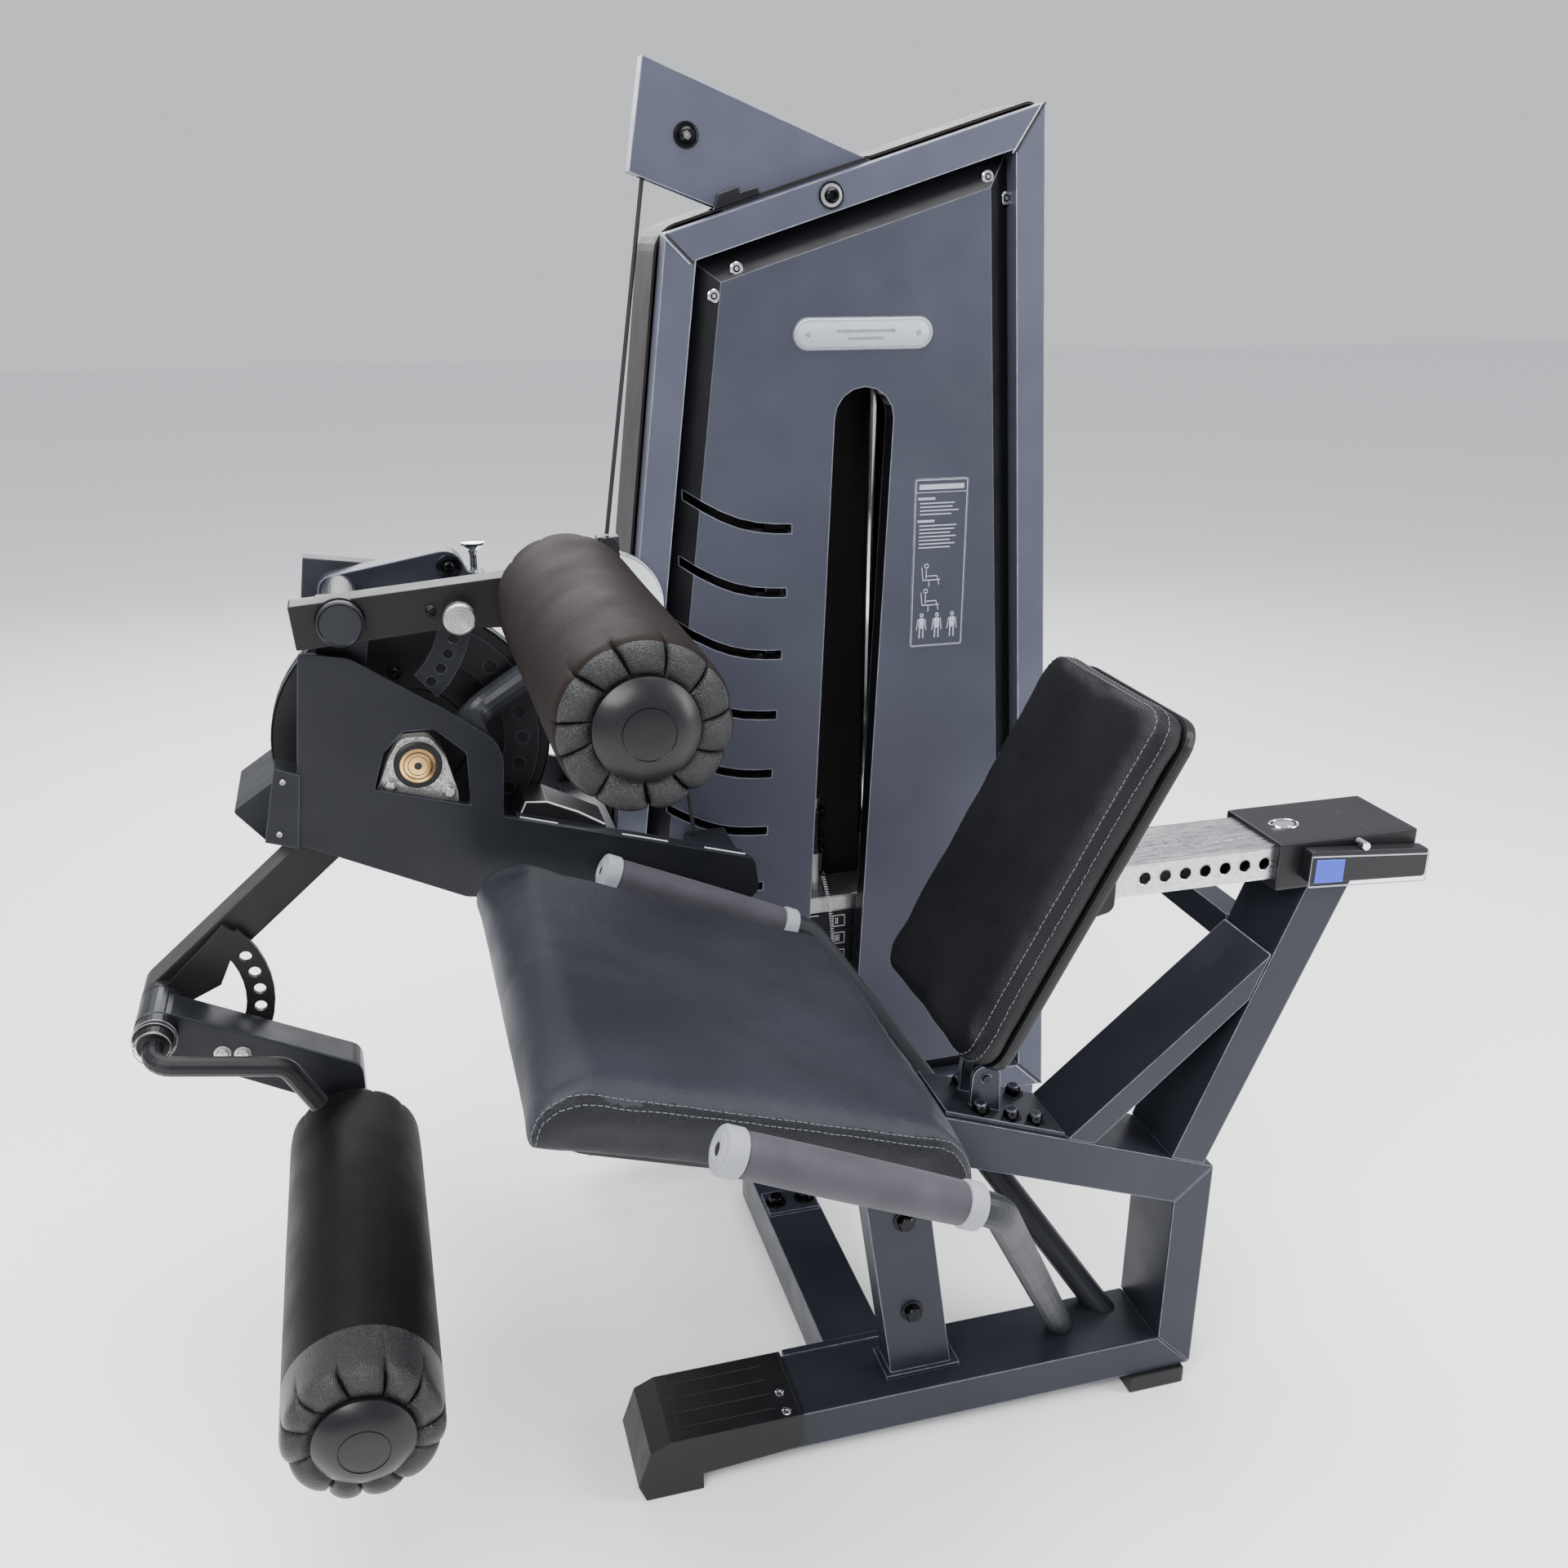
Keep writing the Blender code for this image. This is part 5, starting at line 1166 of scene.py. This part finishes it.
def far_arm_details():
    """The screw in the far arm, on its washer."""
    shape = Shape()
    spot = (0.088, 0.4215, 0.9005)
    shape.turned([(0.0, 0.0135), (0.0012, 0.0135), (0.0017, 0.0125), (0.0017, 0.006)], spot)
    socket_screw(shape, (spot[0], spot[1] - 0.0010, spot[2]), 0.0052, height=0.0018, washer=False)
    shape.place("far_arm_screw", "dark_steel", "thigh")


def cables():
    """The cable's straight runs, each drawn from its fixed end to its end on the part that hangs on it."""
    runs = (
        ("drop_run", "drop_cable", (0.3313, 0.466, 1.343), (0.262, 0.405, 0.9305), "float"),
        ("pull_run", "lift_cable_pull", (0.189, 0.405, 0.7125), (0.2042, 0.405, 0.8495), "float"),
        ("anchor_run", "lift_cable_anchor", (0.3548, 0.405, 0.5575), (0.3198, 0.405, 0.8495), "float"),
        ("stack_run", "stack_cable", (0.5353, 0.466, 1.2492), (0.535, 0.495, 0.5556), "stack"),
    )
    for name, node, fixed, moving, mover in runs:
        shape = Shape()
        ends = (Vector(fixed), Vector(moving))
        shape.tube([ends[0].lerp(ends[1], step / 60) for step in range(61)], CABLE_RADIUS, 12)
        piece = shape.build(name, "cable")
        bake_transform(piece)
        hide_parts(node)


def pulley_rim():
    """Bright lines along both rims of the floating pulley."""
    shape = Shape()
    for y in (0.3965, 0.4135):
        shape.circle((0.262, y, 0.85), 0.0595, 0.0007, sides=72)
    shape.place("float_pulley_rim", "chrome", "float_wheel")


def roller_cap(name, centre, near, body):
    """A domed plastic cap with a fine moulded line round its middle."""
    rim = 0.0430
    height = 0.0179
    profile = [(height, 0.0)]
    for step in range(1, 17):
        size = rim * math.sin(math.pi / 2 * step / 16)
        profile.append((height - 0.0128 * (size / rim) ** 3.2, size))
    profile += [(0.0030, rim + 0.0003), (-0.0010, rim - 0.0006)]
    shape = Shape()
    at = (centre[0], near, centre[1])
    shape.turned(profile, at, sides=72)
    shape.place(name, "cap", body, "black_plastic")
    line = Shape()
    line.circle((centre[0], near - 0.0168, centre[1]), 0.0215, 0.0004, sides=64)
    line.place(name + "_line", "dark_steel", body)


# ---------------------------------------------------------------- slider

def slider_details():
    """Rims of the slider's holes, raised marks on its top, and the trim of its head."""
    rims = Shape()
    for hole in range(11):
        x = 0.7125 + 0.0225 * hole
        rims.circle((x, -0.0406, 0.6485), 0.0071, 0.0008, sides=28)
    for row in range(8):
        x = 0.72 + 0.016 * row
        wide = rounded_rectangle(x, -0.016, x + 0.009, -0.0115, 0.0015, 3)
        narrow = rounded_rectangle(x + 0.002, -0.008, x + 0.005, 0.003, 0.001, 3)
        for outline in (wide, narrow):
            rims.lying(outline, SLIDER_TOP, 0.0004, 0.0002)
    rims.place("slider_marks", "slider", "slider", "chrome")
    head = Shape()
    oval = [(0.8925 + 0.0155 * math.cos(angle), -0.002 + 0.0115 * math.sin(angle)) for angle in turns(40)]
    head.tube([(x, y, HEAD_TOP + 0.0003) for x, y in oval], 0.0012, 8, True)
    head.lying(shrunk(oval, 0.0035), HEAD_TOP - 0.0004, 0.0011, 0.0004)
    head.place("slider_head_trim", "chrome")
    slots = Shape()
    for y in (-0.040, 0.006):
        outline = rounded_rectangle(0.967, y, 0.970, y + 0.014, 0.0014, 3)
        slots.lying(outline, HEAD_TOP - 0.0002, 0.0004, 0.0001)
    slots.place("slider_head_slots", "void")
    pin = Shape()
    root = (0.948, HEAD_SIDE - 0.0008, 0.6655)
    pin.turned([(0.0, 0.0046), (0.014, 0.0046), (0.015, 0.0038)], root, sides=24)
    pin.place("slider_head_pin", "chrome")


def release_handle_trim():
    """The bright frame line and blue inlay on the handle's face."""
    corners = [(0.8845, 0.6285), (1.0245, 0.6195), (1.0245, 0.6495), (0.8845, 0.6615)]
    trim = Shape()
    trim.line(corners, HANDLE_FACE - 0.0002, 0.0008)
    trim.place("release_handle_trim", "line", "release")
    inlay = Shape()
    inlay.upright([(0.8905, 0.6325), (0.9235, 0.6303), (0.9235, 0.6550), (0.8905, 0.6578)], HANDLE_FACE,
                  0.0008, 0.0003)
    inlay.place("release_handle_inlay", "blue", "release")


# ---------------------------------------------------------------- stage

def area_light(name, spot, target, size, power):
    data = bpy.data.lights.new(name, "AREA")
    data.shape = "RECTANGLE"
    data.size, data.size_y = size
    data.energy = power
    lamp = linked(name, data)
    lamp.location = Vector(spot) + BENCH
    lamp.rotation_mode = "QUATERNION"
    lamp.rotation_quaternion = (Vector(target) - Vector(spot)).to_track_quat("-Z", "Y")


def studio():
    """A pale floor, soft lights from above and from both sides, and a faint pale surround."""
    floor_look = Look("pale_floor", (0.93, 0.93, 0.93), 0.7)
    floor_look.set(Roughness=floor_look.spread(floor_look.noise(3.0), 0.3, 0.7, 0.65, 0.8))
    mesh = bpy.data.meshes.new("floor")
    reach = 14.0
    corners = [(x, z, 0.0) for x, z in rectangle(-reach, -reach, reach, reach)]
    mesh.from_pydata(corners, [], [(0, 1, 2, 3)])
    mesh.materials.append(floor_look.material)
    floor = linked("floor", mesh)
    floor.location.z = -0.0005
    world = bpy.data.worlds.new("pale_surround")
    world.use_nodes = True
    background = world.node_tree.nodes["Background"]
    background.inputs["Color"].default_value = (0.92, 0.94, 1.0, 1.0)
    background.inputs["Strength"].default_value = 0.8
    bpy.context.scene.world = world
    middle = (0.3, 0.1, 0.6)
    area_light("key_light", (-1.6, -2.0, 3.0), middle, (2.4, 1.6), 190)
    area_light("top_light", (0.4, 0.4, 3.4), middle, (2.6, 2.0), 170)
    area_light("right_light", (3.0, -1.2, 1.8), middle, (1.0, 2.4), 90)
    area_light("back_light", (0.6, 3.2, 2.2), middle, (3.0, 1.4), 90)


def camera():
    """The camera, turned to its yaw, pitch and roll."""
    level = Vector((math.sin(CAMERA_YAW), math.cos(CAMERA_YAW), 0.0))
    forward = level * math.cos(CAMERA_PITCH) - UP * math.sin(CAMERA_PITCH)
    right = Vector((math.cos(CAMERA_YAW), -math.sin(CAMERA_YAW), 0.0))
    up = right.cross(forward)
    turn = Matrix.Rotation(CAMERA_ROLL, 3, forward)
    data = bpy.data.cameras.new("camera")
    data.lens = CAMERA_LENS
    data.sensor_width = 36.0
    eye = linked("camera", data)
    rows = Matrix((turn.transposed() @ right, turn.transposed() @ up, -forward))
    eye.matrix_world = Matrix.Translation(CAMERA_SPOT + BENCH) @ rows.transposed().to_4x4()
    bpy.context.scene.camera = eye


def main():
    dress_cad_nodes()
    seat_cushion()
    back_cushion()
    # The lower roller's 62 mm band is partly a painted reflection
    roller_cover("lower_roller_cover", "lower_roller_pad", "lower_roller",
                 ("dark_brown_leather", "gather_and_reflection_leather"), "black_leather", 0.062, 3)
    roller_cover("upper_roller_cover", "upper_roller_pad", "upper_roller",
                 ("brown_leather", "gather_and_reflection_leather"), "brown_leather", 0.003, 5)
    grip("grip_sleeve_near", "grip_near")
    grip("grip_sleeve_far", "grip_far")
    tower_fittings()
    name_plate()
    placard()
    plate_labels_and_highlights()
    lanyard()
    boom_fittings()
    frame_screws()
    foot_cap_details()
    housing_fittings()
    bearing_details()
    cam_details()
    thigh_arm_details()
    roller_arm_details()
    far_arm_details()
    cables()
    pulley_rim()
    roller_cap("lower_roller_dome", (-0.071, 0.30), -0.20, "lower_roller")
    roller_cap("upper_roller_dome", (0.197, 0.887), -0.15, "upper_roller")
    slider_details()
    release_handle_trim()
    studio()
    camera()


main()
